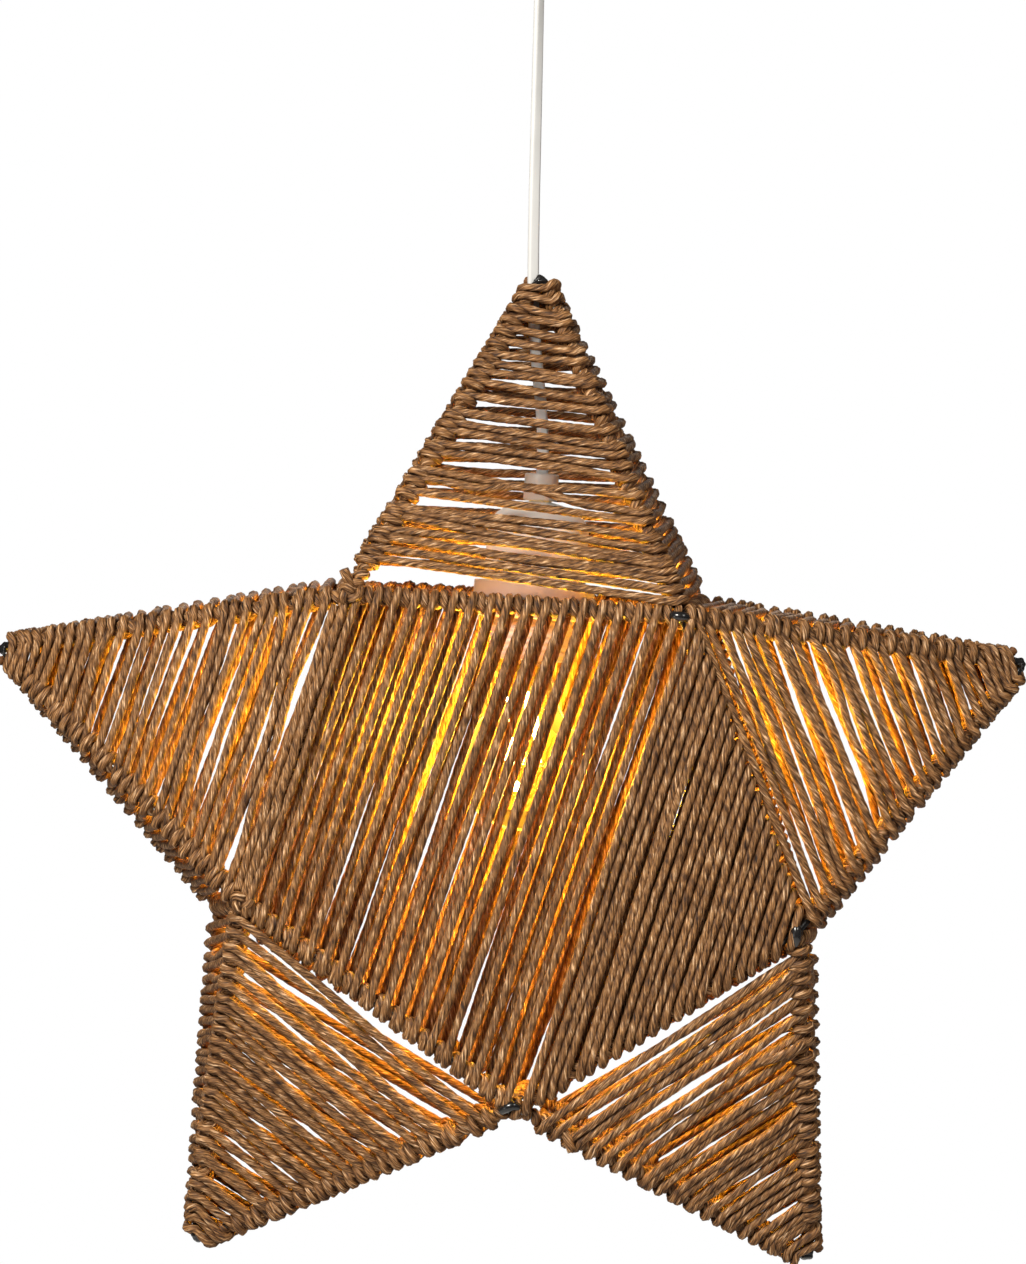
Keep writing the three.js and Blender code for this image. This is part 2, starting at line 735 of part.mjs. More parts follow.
// Two wire spokes carry the fitter ring between the top edges of the two rings.
// Each comes through between two passes of rope, which cross the edge at a slant.
function innerPasses(upper, lower) {
  if (upper[0].edge.start.y < 0) {
    return upper.slice(1).map((wrap, i) => [wrapPoint(wrap, -1, 1), wrapPoint(lower[i], 1, 1)]);
  }
  return upper.map((wrap, i) => [wrapPoint(wrap, 1, -1), wrapPoint(lower[i], -1, -1)]);
}

function placeBetweenPasses(upper, lower) {
  const { edge } = upper[0];
  const wanted = vector(holderSide, edge.start.y, 0).sub(edge.start).dot(edge.heading);
  const crossings = innerPasses(upper, lower).map(([high, low]) => {
    const fall = high.clone().sub(low).dot(edge.outward);
    return between(high, low, ropeSeat / fall).sub(edge.start).dot(edge.heading);
  });
  const choices = crossings.slice(1).map((place, i) => (place + crossings[i]) / 2);
  return choices.reduce((best, place) => (Math.abs(place - wanted) < Math.abs(best - wanted) ? place : best));
}

function spoke(name, upper, lower) {
  const { edge } = upper[0];
  const place = placeBetweenPasses(upper, lower);
  const foot = edge.start.clone().addScaledVector(edge.heading, place);
  const away = Math.sign(foot.y);
  const rimSide = foot.x - holderSide;
  const rim = Math.sqrt(washerRadius ** 2 - rimSide ** 2) + fitGap;
  const start = vector(foot.x, away * rim, holderLift - rimSide * Math.sin(holderLean));
  const heading = towards(start, foot);
  const standOff = wireRadius + fitGap + spokeRadius * Math.abs(heading.z);
  const end = foot.clone().addScaledVector(heading, -standOff);
  piece(frame, name, swept([start, end], roundSection(spokeRadius, wireSides)), looks.wire);
}

spoke('fitter_spoke_front', frontUpper, frontLower);
spoke('fitter_spoke_back', backUpper, backLower);

// The flex hangs from the ceiling rose and goes down inside the top arm
const flexPath = flexRoute.map(([x, y, z]) => vector(x, y, z));
piece(part, 'flex_cord', swept(flexPath, flatSection(flexWidth, flexThickness, flexSides)), looks.flex);

// The ceiling rose: a base on the ceiling, a cover over it and a bell-mouthed gland below
const roseTop = -fitGap - fitGap;
const roseFoot = roseTop - roseDepth;
const roseInner = roseRadius - roseWall;
const roseNarrowing = (roseRadius - roseMouthRadius) / (roseDepth - roseWall);
const roseBaseRadius = roseInner - roseNarrowing * roseBaseThickness - fitGap;
const screwHoles = [1, -1].map((way) => [way * roseScrewSpread, 0, roseScrewRadius + fitGap]);
const roseBase = plate(disc(roseBaseRadius), roseBaseThickness, screwHoles);
piece(part, 'rose_base', roseBase.translate(0, 0, -roseBaseThickness), looks.plastic);

const terminalBlock = new THREE.BoxGeometry(blockWide, blockDeep, blockTall);
const blockMiddle = -roseBaseThickness - fitGap - blockTall / 2;
piece(part, 'rose_terminal_block', terminalBlock.translate(0, 0, blockMiddle), looks.block);

for (const [name, way] of [['left', -1], ['right', 1]]) {
  const head = -roseBaseThickness - fitGap;
  const screw = turned([
    [0, head - roseScrewHeadHeight],
    [roseScrewHeadRadius, head - roseScrewHeadHeight],
    [roseScrewHeadRadius, head],
    [roseScrewRadius, head],
    [roseScrewRadius, -fitGap],
    [0, -fitGap],
  ], roundSides / 2);
  piece(part, `rose_screw_${name}`, screw.translate(way * roseScrewSpread, 0, 0), looks.nickel);
}

const roseHole = glandNeckRadius + fitGap;
piece(part, 'rose_cover', closedTurned([
  [roseHole, roseFoot],
  [roseMouthRadius, roseFoot],
  [roseRadius, roseTop],
  [roseInner, roseTop],
  [roseMouthRadius - roseWall, roseFoot + roseWall],
  [roseHole, roseFoot + roseWall],
]), looks.plastic);

// The flex sways about its upper end, which lies a little way down inside the gland
const glandTop = roseFoot + glandNeckLength;
const glandStep = roseFoot - fitGap;
const glandFoot = glandStep - glandHeight;
const swayHeight = flexPath[flexPath.length - 1].z;
const glandInner = glandNeckRadius - glandWall;
piece(part, 'cord_gland', closedTurned([
  [flexBore + glandMouth, glandFoot],
  [glandRadius - edgeChamfer, glandFoot],
  [glandRadius, glandFoot + edgeChamfer],
  [glandRadius, glandStep],
  [glandNeckRadius, glandStep],
  [glandNeckRadius, glandTop],
  [glandInner, glandTop],
  [glandInner, swayHeight + swayDepth / 2],
  [flexBore + swayRoom / 2, swayHeight],
]), looks.plastic);
piece(part, 'cord_collet', closedTurned([
  [flexBore, swayHeight + swayDepth],
  [glandInner - fitGap, swayHeight + swayDepth],
  [glandInner - fitGap, glandTop],
  [flexBore, glandTop],
], roundSides / 2), looks.block);

export default part;
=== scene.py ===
# %% [markdown]
# # A hanging star lamp of paper rope
# This lamp is a star of bent black wire, wound all over with twisted brown paper rope, with a
# bulb in its middle. It hangs on a white flat flex from a ceiling rose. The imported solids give
# every wire, the lampholder and the bulb their places. Most cells read the solids that they
# need and model the fine surface over them. Only the flex's route and the outlines of the round
# pieces are written again here, because a mesh doesn't tell them.

# %% Load the frame
import json
import math

import bpy
import numpy as np
from mathutils import Matrix, Vector
from mathutils.kdtree import KDTree

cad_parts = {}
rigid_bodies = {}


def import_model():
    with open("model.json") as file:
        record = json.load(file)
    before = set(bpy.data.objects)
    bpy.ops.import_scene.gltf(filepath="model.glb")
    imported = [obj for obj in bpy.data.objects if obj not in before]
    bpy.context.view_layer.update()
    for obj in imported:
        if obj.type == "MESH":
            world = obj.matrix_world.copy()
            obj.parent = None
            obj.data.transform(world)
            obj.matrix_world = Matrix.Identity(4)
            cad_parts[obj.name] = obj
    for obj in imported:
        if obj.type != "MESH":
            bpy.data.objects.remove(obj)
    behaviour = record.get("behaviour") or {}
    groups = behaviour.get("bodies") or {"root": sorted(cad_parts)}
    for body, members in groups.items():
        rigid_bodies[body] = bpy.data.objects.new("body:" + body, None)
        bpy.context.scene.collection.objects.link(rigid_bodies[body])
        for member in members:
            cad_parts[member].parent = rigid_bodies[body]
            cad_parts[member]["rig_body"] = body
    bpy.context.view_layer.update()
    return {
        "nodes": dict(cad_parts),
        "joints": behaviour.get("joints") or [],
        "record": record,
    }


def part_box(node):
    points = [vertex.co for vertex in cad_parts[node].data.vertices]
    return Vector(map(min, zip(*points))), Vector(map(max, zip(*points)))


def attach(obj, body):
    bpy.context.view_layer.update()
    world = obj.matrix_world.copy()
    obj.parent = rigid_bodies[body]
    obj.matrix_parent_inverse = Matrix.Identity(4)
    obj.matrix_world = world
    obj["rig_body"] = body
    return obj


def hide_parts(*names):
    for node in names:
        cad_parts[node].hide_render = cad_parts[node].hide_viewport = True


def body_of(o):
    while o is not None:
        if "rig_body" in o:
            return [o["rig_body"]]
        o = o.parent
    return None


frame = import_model()
nodes = frame["nodes"]
MM = 0.001

# %% [markdown]
# ## The camera
# The photograph is taken level and from the front, from far off, so that the star is nearly
# flat in it. The cord in it leans by the roll of the camera. A long lens at 2.4 metres gives
# the same slant between the front ring and the tips as the picture does.

# %% The camera
CAMERA_PLACE = Vector((-5.0, -2400.0, -352.85)) * MM
CAMERA_ROLL = math.radians(1.4)
SENSOR_WIDTH = 36.0
FOCAL_SHARE = 4.984

bpy.ops.object.camera_add()
camera = bpy.context.object
camera.name = "front_camera"
camera.data.sensor_fit = "HORIZONTAL"
camera.data.sensor_width = SENSOR_WIDTH
camera.data.lens = FOCAL_SHARE * SENSOR_WIDTH
facing = Matrix.Rotation(math.pi / 2, 4, "X") @ Matrix.Rotation(CAMERA_ROLL, 4, "Z")
camera.matrix_world = Matrix.Translation(CAMERA_PLACE) @ facing
bpy.context.scene.camera = camera
print("the camera's lens is", round(camera.data.lens, 1), "mm long")

# %% [markdown]
# ## Helpers for materials
# Every finish is a small node tree. It could be built by hand in the shader editor, but lines
# of code can be read and repeated. Each helper below adds one node, so that a material reads
# as a list of what it is made of.

# %% Helpers for materials
WHITE = (1.0, 1.0, 1.0)


def new_material(name, roughness=0.5, metallic=0.0):
    material = bpy.data.materials.new(name)
    material.use_nodes = True
    shader = material.node_tree.nodes["Principled BSDF"]
    shader.inputs["Roughness"].default_value = roughness
    shader.inputs["Metallic"].default_value = metallic
    return material, material.node_tree, shader


def add_node(tree, kind, **values):
    node = tree.nodes.new(kind)
    for key, value in values.items():
        if hasattr(node, key):
            setattr(node, key, value)
        else:
            node.inputs[key.replace("_", " ").title()].default_value = value
    return node


def add_noise(tree, vector, scale, detail=3.0, roughness=0.5):
    node = add_node(tree, "ShaderNodeTexNoise", scale=scale, detail=detail, roughness=roughness)
    tree.links.new(vector, node.inputs["Vector"])
    return node.outputs["Fac"]


def add_ramp(tree, factor, stops):
    node = tree.nodes.new("ShaderNodeValToRGB")
    elements = node.color_ramp.elements
    while len(elements) < len(stops):
        elements.new(0.5)
    for element, (place, colour) in zip(elements, stops):
        element.position = place
        element.color = (*colour, 1.0)
    tree.links.new(factor, node.inputs["Fac"])
    return node.outputs["Color"]


def add_multiply(tree, first, second):
    mix = add_node(tree, "ShaderNodeMix", data_type="RGBA", blend_type="MULTIPLY")
    mix.inputs["Factor"].default_value = 1.0
    tree.links.new(first, mix.inputs["A"])
    tree.links.new(second, mix.inputs["B"])
    return mix.outputs["Result"]


def add_math(tree, operation, value, factor=None):
    node = add_node(tree, "ShaderNodeMath", operation=operation)
    tree.links.new(value, node.inputs[0])
    if factor is not None:
        node.inputs[1].default_value = factor
    return node.outputs["Value"]


def add_shader_mix(tree, factor, first, second, end):
    """Mixes two shaders and gives the result to the end of the tree, as its surface."""
    mix = tree.nodes.new("ShaderNodeMixShader")
    tree.links.new(factor, mix.inputs["Fac"])
    tree.links.new(first, mix.inputs[1])
    tree.links.new(second, mix.inputs[2])
    tree.links.new(mix.outputs["Shader"], tree.nodes[end].inputs["Surface"])


def add_bump(tree, shader, height, strength, distance, before=None):
    node = add_node(tree, "ShaderNodeBump", strength=strength, distance=distance)
    tree.links.new(height, node.inputs["Height"])
    if before is not None:
        tree.links.new(before, node.inputs["Normal"])
    tree.links.new(node.outputs["Normal"], shader.inputs["Normal"])
    return node.outputs["Normal"]


def add_mapping(tree, place, stretch):
    mapping = tree.nodes.new("ShaderNodeMapping")
    mapping.inputs["Scale"].default_value = stretch
    tree.links.new(place, mapping.inputs["Vector"])
    return mapping.outputs["Vector"]


def object_place(tree):
    return tree.nodes.new("ShaderNodeTexCoord").outputs["Object"]


# %% [markdown]
# ## Paper rope, the finish
# The rope is kraft paper, twisted into five soft plies that are laid to the left. Its surface
# is made of creases that run along the plies. Their colour is partly the paper's own tone and
# partly painted light: pale flecks are painted highlights where the paper is folded over, and
# dark lines between the folds are painted shade. The mesh carries a map whose first direction
# goes round the rope, turning with the plies, and whose second runs along it, so a noise that is
# long in the second makes creases that follow the lay. The same map paints shade into the
# grooves between the plies.
# The paper's colour itself changes slowly. Two ropes side by side shade each other more than
# the lamps here can show, so the mesh also carries a value of painted shade for the crevices
# between strands, which paints the paper darker where it faces a neighbour. A picture of real
# rope could be wrapped round the tube instead, but its shadows would stay where they were when
# it was taken.

# %% Paper rope, the finish
ROPE_PLIES = 5
# The darkest paper colour is painted shade between the folds, and the fleck colour is a painted highlight
# on them.
PAPER_FOLD_SHADE = (0.045, 0.018, 0.005)
PAPER_MID = (0.235, 0.112, 0.038)
PAPER_LIGHT = (0.375, 0.195, 0.073)
PAPER_FLECK_HIGHLIGHT = (0.840, 0.590, 0.360)
GROOVE_SHADE = (0.62, 0.52, 0.44)
CREVICE_SHADE = (0.24, 0.17, 0.12)
# How often the creases and the fibres change in a turn of the rope and in a length of its lay.
CREASES = (11.0, 3.6, 1.0)
FIBRES = (34.0, 7.0, 1.0)


def add_ply_wave(tree, lay):
    """0 in the grooves between the plies and 1 on their crests."""
    split = tree.nodes.new("ShaderNodeSeparateXYZ")
    tree.links.new(lay, split.inputs["Vector"])
    turned = add_math(tree, "MULTIPLY", split.outputs["X"], math.pi * ROPE_PLIES)
    return add_math(tree, "ABSOLUTE", add_math(tree, "SINE", turned))


def make_rope_material():
    material, tree, shader = new_material("twisted_kraft_paper", roughness=0.60)
    lay = tree.nodes.new("ShaderNodeTexCoord").outputs["UV"]
    crease = add_noise(tree, add_mapping(tree, lay, CREASES), 1.0, detail=3.0, roughness=0.6)
    fibre = add_noise(tree, add_mapping(tree, lay, FIBRES), 1.0, detail=2.0)
    tone = add_noise(tree, object_place(tree), 60.0, detail=2.0)
    # The crease noise picks the paper colour: the darkest stop is painted shade between the folds, the
    # palest a painted highlight, and the ones between are the paper's own tone.
    papers = [(0.35, PAPER_FOLD_SHADE), (0.45, PAPER_MID), (0.56, PAPER_LIGHT), (0.68, PAPER_FLECK_HIGHLIGHT)]
    base = add_ramp(tree, crease, papers)
    streak = add_ramp(tree, fibre, [(0.40, (0.34, 0.28, 0.24)), (0.60, (1.42, 1.38, 1.34))])
    shade = add_ramp(tree, tone, [(0.32, (0.78, 0.74, 0.70)), (0.68, (1.10, 1.10, 1.12))])
    # The grooves between the plies are painted darker, as painted shade.
    groove = add_ramp(tree, add_ply_wave(tree, lay), [(0.04, GROOVE_SHADE), (0.34, WHITE)])
    # This value paints shade in the crevices, where a neighbouring strand lies close.
    closeness = add_node(tree, "ShaderNodeAttribute", attribute_name="painted_crevice_shade").outputs["Fac"]
    painted_crevice_shade = add_ramp(tree, closeness, [(0.22, WHITE), (0.80, CREVICE_SHADE)])
    paper = add_multiply(tree, add_multiply(tree, base, streak), add_multiply(tree, shade, groove))
    colour = add_multiply(tree, paper, painted_crevice_shade)
    tree.links.new(colour, shader.inputs["Base Color"])
    shader.inputs["Specular IOR Level"].default_value = 0.35
    coarse = add_bump(tree, shader, crease, 0.7, 0.7 * MM)
    add_bump(tree, shader, fibre, 0.6, 0.3 * MM, before=coarse)
    return material


rope_material = make_rope_material()

# %% [markdown]
# ## Other finishes
# The wire is painted a glossy black that is a little uneven. The plastic of the lampholder and
# the ceiling rose is white with a soft gloss. The flex has a smooth white sheath. Brass, nickel,
# glass and the glowing filaments are small pieces that show between the ropes. The plain ones
# differ in a few values only, so one function makes them all, and a table gives each finish the
# name of the slot that it fills.

# %% Other finishes


def make_plain(name, colour, roughness, metallic=0.0, unevenness=0.08, grain=900.0, bump=0.02):
    material, tree, shader = new_material(name, roughness, metallic)
    place = object_place(tree)
    broad = add_noise(tree, place, 38.0, detail=3.0)
    low = tuple(channel * (1.0 - unevenness) for channel in colour)
    high = tuple(min(channel * (1.0 + unevenness), 1.0) for channel in colour)
    tree.links.new(add_ramp(tree, broad, [(0.35, low), (0.65, high)]), shader.inputs["Base Color"])
    add_bump(tree, shader, add_noise(tree, place, grain, detail=2.0), bump, 0.2 * MM)
    return material, shader


black_paint, paint_shader = make_plain(
    "black_wire_paint", (0.010, 0.009, 0.009), 0.24, unevenness=0.4, grain=420.0, bump=0.25
)
paint_shader.inputs["Coat Weight"].default_value = 0.6
paint_shader.inputs["Coat Roughness"].default_value = 0.12
white_plastic = make_plain("white_plastic", (0.84, 0.82, 0.78), 0.36, unevenness=0.03)[0]
block_plastic = make_plain("cream_block_plastic", (0.70, 0.66, 0.57), 0.6, unevenness=0.05)[0]
flex_sheath = make_plain("white_flex_sheath", (0.70, 0.70, 0.70), 0.42, unevenness=0.04)[0]
contact_brass = make_plain("contact_brass", (0.60, 0.40, 0.14), 0.3, metallic=1.0)[0]
nickel_plate = make_plain("nickel_plate", (0.64, 0.63, 0.60), 0.26, metallic=1.0)[0]
black_glass = make_plain("black_insulator_glass", (0.012, 0.012, 0.014), 0.15)[0]
core_brown = make_plain("brown_core_sheath", (0.14, 0.055, 0.02), 0.45)[0]
core_blue = make_plain("blue_core_sheath", (0.03, 0.16, 0.42), 0.45)[0]


def make_clear_glass():
    material, tree, shader = new_material("clear_bulb_glass", roughness=0.03)
    wave = add_noise(tree, object_place(tree), 60.0, detail=1.0)
    tint = add_ramp(tree, wave, [(0.3, (1.0, 0.90, 0.70)), (0.7, (1.0, 0.94, 0.80))])
    shader.inputs["Base Color"].default_value = (0.30, 0.27, 0.20, 1.0)
    add_bump(tree, shader, wave, 0.05, 0.3 * MM)
    clear = tree.nodes.new("ShaderNodeBsdfTransparent")
    tree.links.new(tint, clear.inputs["Color"])
    rim = add_node(tree, "ShaderNodeLayerWeight", blend=0.25).outputs["Fresnel"]
    add_shader_mix(tree, rim, clear.outputs["BSDF"], shader.outputs["BSDF"], "Material Output")
    return material


def make_filament(name, strength):
    material, tree, shader = new_material(name, roughness=0.5)
    glow = add_noise(tree, object_place(tree), 300.0, detail=1.0)
    colour = add_ramp(tree, glow, [(0.3, (1.0, 0.62, 0.20)), (0.7, (1.0, 0.78, 0.38))])
    tree.links.new(colour, shader.inputs["Base Color"])
    tree.links.new(colour, shader.inputs["Emission Color"])
    shader.inputs["Emission Strength"].default_value = strength
    return material


filament_glow = make_filament("glowing_filament", 40.0)
# The brighter glow is for the painted glints, balls on the coil that stand in for the bulb's glints.
painted_glint_glow = make_filament("painted_glint_points", 160.0)
FINISHES = {
    "white_plastic": white_plastic,
    "block_plastic": block_plastic,
    "flex_sheath": flex_sheath,
    "core_brown": core_brown,
    "core_blue": core_blue,
    "contact_brass": contact_brass,
    "nickel": nickel_plate,
    "black_glass": black_glass,
    "bulb_glass": make_clear_glass(),
    "filament": filament_glow,
    "black_wire": black_paint,
    "paper_rope": rope_material,
}
slot_of = {row["node"]: row["material_slot"] for row in frame["record"]["subparts"]}

# %% [markdown]
# ## The white flat flex
# The lamp hangs on its flex, a white sheath over two cores side by side, with a shallow groove
# between them. It hangs taut and turns about itself on its way up, so its width in the picture
# changes. A curve with a bevel couldn't turn its section as freely, so the flex is a mesh: its
# section is swept along the same route as the solid and turns more and more on the way.

# %% A route with even points and a side that is carried along it


def even_points(points, step):
    """The same route with points at an even distance, and how far along each of them is."""
    points = np.asarray(points, float)
    travelled = np.r_[0.0, np.cumsum(np.linalg.norm(np.diff(points, axis=0), axis=1))]
    count = max(int(travelled[-1] / step), 2)
    wanted = np.linspace(0.0, travelled[-1], count + 1)
    return np.stack([np.interp(wanted, travelled, points[:, i]) for i in range(3)], axis=1), wanted


def carried_sides(points):
    """Tangents of a route, and a side direction that is carried along it without twist."""
    tangents = np.gradient(points, axis=0)
    tangents /= np.linalg.norm(tangents, axis=1)[:, None]
    side = Vector((1.0, 0.0, 0.0)) if abs(tangents[0][0]) < 0.9 else Vector((0.0, 1.0, 0.0))
    sides = np.empty_like(points)
    for i, tangent in enumerate(tangents):
        tangent = Vector(tangent)
        side = (side - tangent * side.dot(tangent)).normalized()
        sides[i] = side
    return tangents, sides


# %% Sweeping a section along a route


def swept_mesh(name, points, radii, angles, travelled, lay):
    """A closed tube. radii has a row for each point and a column for each place round it."""
    tangents, sides = carried_sides(points)
    ups = np.cross(tangents, sides)
    count, around = radii.shape
    across = (radii * np.cos(angles))[:, :, None] * sides[:, None, :]
    along = (radii * np.sin(angles))[:, :, None] * ups[:, None, :]
    places = (points[:, None, :] + across + along).reshape(-1, 3)
    places = np.vstack([places, points[:1], points[-1:]])
    ring = np.arange(around)
    next_ring = (ring + 1) % around
    start = (np.arange(count - 1) * around)[:, None]
    corners = [start + ring, start + next_ring, start + around + next_ring, start + around + ring]
    quads = np.stack(corners, axis=2).reshape(-1, 4)
    last = (count - 1) * around
    first_cap = np.stack([np.full(around, count * around), next_ring, ring], axis=1)
    last_cap = np.stack([np.full(around, count * around + 1), last + ring, last + next_ring], axis=1)
    faces = [*quads.tolist(), *first_cap.tolist(), *last_cap.tolist()]
    mesh = bpy.data.meshes.new(name)
    mesh.from_pydata(places.tolist(), [], faces)
    mesh.polygons.foreach_set("use_smooth", [True] * len(faces))
    lay_map = mesh.uv_layers.new(name="lay")
    turn = np.stack([ring, ring + 1, ring + 1, ring], axis=1) / around
    rows = travelled / lay
    low = np.repeat(rows[:-1], around)
    high = np.repeat(rows[1:], around)
    quad_maps = np.empty((len(quads), 4, 2))
    quad_maps[:, :, 0] = np.tile(turn, (count - 1, 1))
    quad_maps[:, :, 1] = np.stack([low, low, high, high], axis=1)
    flat = np.concatenate([quad_maps.reshape(-1), np.zeros(12 * around)])
    lay_map.data.foreach_set("uv", flat.astype(np.float32))
    piece = bpy.data.objects.new(name, mesh)
    bpy.context.scene.collection.objects.link(piece)
    return piece


# %% Finishing a piece


def finish_piece(piece, body, slot, *replaced, material=None):
    """Gives a piece its finish, the slot's own one or another, and the body that it rides on."""
    piece.data.materials.clear()
    piece.data.materials.append(FINISHES[slot] if material is None else material)
    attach(piece, body)
    if replaced:
        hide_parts(*replaced)
    return piece


# %% The flex
FLEX_ROUTE = [
    (6.03, 0, -296.5), (6.42, 0, -287.5), (6.81, 0, -278.5), (6.95, 0, -268), (6.4, 0, -255),
    (5.2, 0, -243), (3.7, 0, -231), (2.3, 0, -219), (1.3, 0, -208), (0.7, 0, -197),
    (0.4, 0, -185), (0.2, 0, -172), (0.1, 0, -159), (0, 0, -146), (0, 0, -133), (0, 0, -120),
    (0, 0, -107), (0, 0, -94), (0, 0, -81), (0, 0, -68), (0, 0, -55), (0, 0, -44), (0, 0, -34),
]
FLEX_WIDTH = 5.5 * MM
FLEX_THICKNESS = 3.2 * MM
FLEX_GROOVE = 0.35 * MM
FLEX_TURN = math.radians(52.0)
FLEX_SIDES = 32
FLEX_STEP = 1.5 * MM
GROOVE_REACH = 0.8 * MM


def make_flex():
    route = np.array(FLEX_ROUTE) * MM
    points, travelled = even_points(route, FLEX_STEP)
    length = travelled[-1]
    around = 2.0 * math.pi * np.arange(FLEX_SIDES) / FLEX_SIDES
    reach = FLEX_THICKNESS / 2.0
    offset = FLEX_WIDTH / 2.0 - reach
    across = offset * np.sign(np.cos(around)) + reach * np.cos(around)
    groove = FLEX_GROOVE * np.sin(around) * np.exp(-((across / GROOVE_REACH) ** 2))
    up = reach * np.sin(around) - groove
    radii = np.tile(np.hypot(across, up), (len(points), 1))
    turn = FLEX_TURN * (travelled / length) ** 1.5
    angles = np.arctan2(up, across)[None, :] + turn[:, None]
    piece = swept_mesh("white_flat_flex", points, radii, angles, travelled, length)
    finish_piece(piece, "star", "flex_sheath", "flex_cord")
    print("the flex is", round(length / MM), "mm long")
    return piece, length


flex, flex_length = make_flex()

# %% [markdown]
# ## The lines of the wires
# The rope has to lie on the real wires. Their places could be typed in again, but then a new
# size of the solids would leave the rope behind, so the wires' middle lines are read off the
# solids. A strut is a straight bar, so the middle of its front end and the middle of its back
# end give its line, and the corners of the two rings lie on it. A leg of an arm starts near a
# corner, and two legs of one wire meet at its bend.

# %% Reading the lines of the wires
ARMS = ["top", "right", "lower_right", "lower_left", "left"]
CORNERS = ["top_right", "right", "bottom", "left", "top_left"]
TOP_RIGHT, RIGHT, BOTTOM, LEFT, TOP_LEFT = range(5)
WIRE_RADIUS = 2.0 * MM
ROPE_RADIUS = 2.25 * MM
SEAT = WIRE_RADIUS + ROPE_RADIUS
WIRE_BEND = 3.0 * MM


def vertices_of(node):
    return np.unique(np.round([vertex.co for vertex in nodes[node].data.vertices], 7), axis=0)


def unit(vector):
    return vector / np.linalg.norm(vector)


def square_to(vector, heading):
    return unit(vector - heading * np.dot(vector, heading))


def ring_plane(node):
    low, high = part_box(node)
    return (low.y + high.y) / 2.0


def bar_ends(node):
    """The middles of the front end and the back end of a straight bar."""
    places = vertices_of(node)
    middle = places[:, 1].mean()
    return places[places[:, 1] < middle].mean(axis=0), places[places[:, 1] > middle].mean(axis=0)


def corner_on_strut(name, plane):
    front, back = bar_ends(f"{name}_strut")
    return front + (back - front) * (plane - front[1]) / (back[1] - front[1])


def nearest_ring(places, spot):
    order = np.argsort(np.linalg.norm(places - spot, axis=1))
    return places[order[:8]].mean(axis=0)


def meeting_place(first, first_way, second, second_way):
    """The place where two lines meet, or pass each other closest."""
    normal = np.cross(first_way, second_way)
    across = np.cross(second_way, normal)
    reach = np.dot(second - first, across) / np.dot(first_way, across)
    return first + first_way * reach


front_plane = ring_plane("front_ring_wire")
back_plane = ring_plane("back_ring_wire")
front_corners = [corner_on_strut(name, front_plane) for name in CORNERS]
back_corners = [corner_on_strut(name, back_plane) for name in CORNERS]
star_middle = np.mean(front_corners + back_corners, axis=0)


def bend_of(arm, corners, side):
    index = ARMS.index(arm)
    places = vertices_of(f"{arm}_arm_{side}_wire")
    starts = [corners[index - 1], corners[index]]
    ways = [unit(nearest_ring(places, start) - start) for start in starts]
    return meeting_place(starts[0], ways[0], starts[1], ways[1])


front_bends = [bend_of(arm, front_corners, "front") for arm in ARMS]
back_bends = [bend_of(arm, back_corners, "back") for arm in ARMS]
for arm, bend in zip(ARMS, front_bends):
    print(arm, "arm bends at", np.round(bend / MM, 1))

# %% [markdown]
# ## The black wire
# The frame is welded from 4 mm steel wire and painted black. A chain of cylinders would show
# its joints at the bends, so each wire is a curve with round bends and a round section, made a
# mesh. Where wires meet, the weld has left an uneven lump under the paint. Little of the wire
# shows, but the tips and some corners do, and they shine.

# %% The black wire


def rounded(points, radius, closed, steps=6):
    """A route with its corners taken round."""
    count = len(points)
    path = []
    for i, corner in enumerate(points):
        if not closed and i in (0, count - 1):
            path.append(corner)
            continue
        back = unit(points[i - 1] - corner)
        ahead = unit(points[(i + 1) % count] - corner)
        half = math.acos(max(-1.0, min(1.0, float(np.dot(back, ahead))))) / 2.0
        centre = corner + unit(back + ahead) * radius / math.sin(half)
        first = corner + back * radius / math.tan(half) - centre
        last = corner + ahead * radius / math.tan(half) - centre
        sweep = math.pi - 2.0 * half
        for k in range(steps + 1):
            share = k / steps
            offset = first * math.sin((1.0 - share) * sweep) + last * math.sin(share * sweep)
            path.append(centre + offset / math.sin(sweep))
    return path


# %% Wires as round bars


def select_only(first, *others):
    bpy.ops.object.select_all(action="DESELECT")
    for piece in (first, *others):
        piece.select_set(True)
    bpy.context.view_layer.objects.active = first


def wire_piece(name, path, closed, *replaced, radius=WIRE_RADIUS, body="star", slot="black_wire"):
    curve = bpy.data.curves.new(name, "CURVE")
    curve.dimensions = "3D"
    curve.bevel_depth = radius
    curve.bevel_resolution = 4
    curve.use_fill_caps = True
    spline = curve.splines.new("POLY")
    spline.points.add(len(path) - 1)
    for point, place in zip(spline.points, path):
        point.co = (*place, 1.0)
    spline.use_cyclic_u = closed
    made = bpy.data.objects.new(name, curve)
    bpy.context.scene.collection.objects.link(made)
    select_only(made)
    bpy.ops.object.convert(target="MESH")
    made = bpy.context.object
    made.name = name
    bpy.ops.object.shade_smooth_by_angle(angle=math.radians(50.0))
    return finish_piece(made, body, slot, *replaced)


# %% The wires of the frame
SPOKE_RADIUS = 1.5 * MM
SIDES = {"front": (front_corners, front_bends), "back": (back_corners, back_bends)}

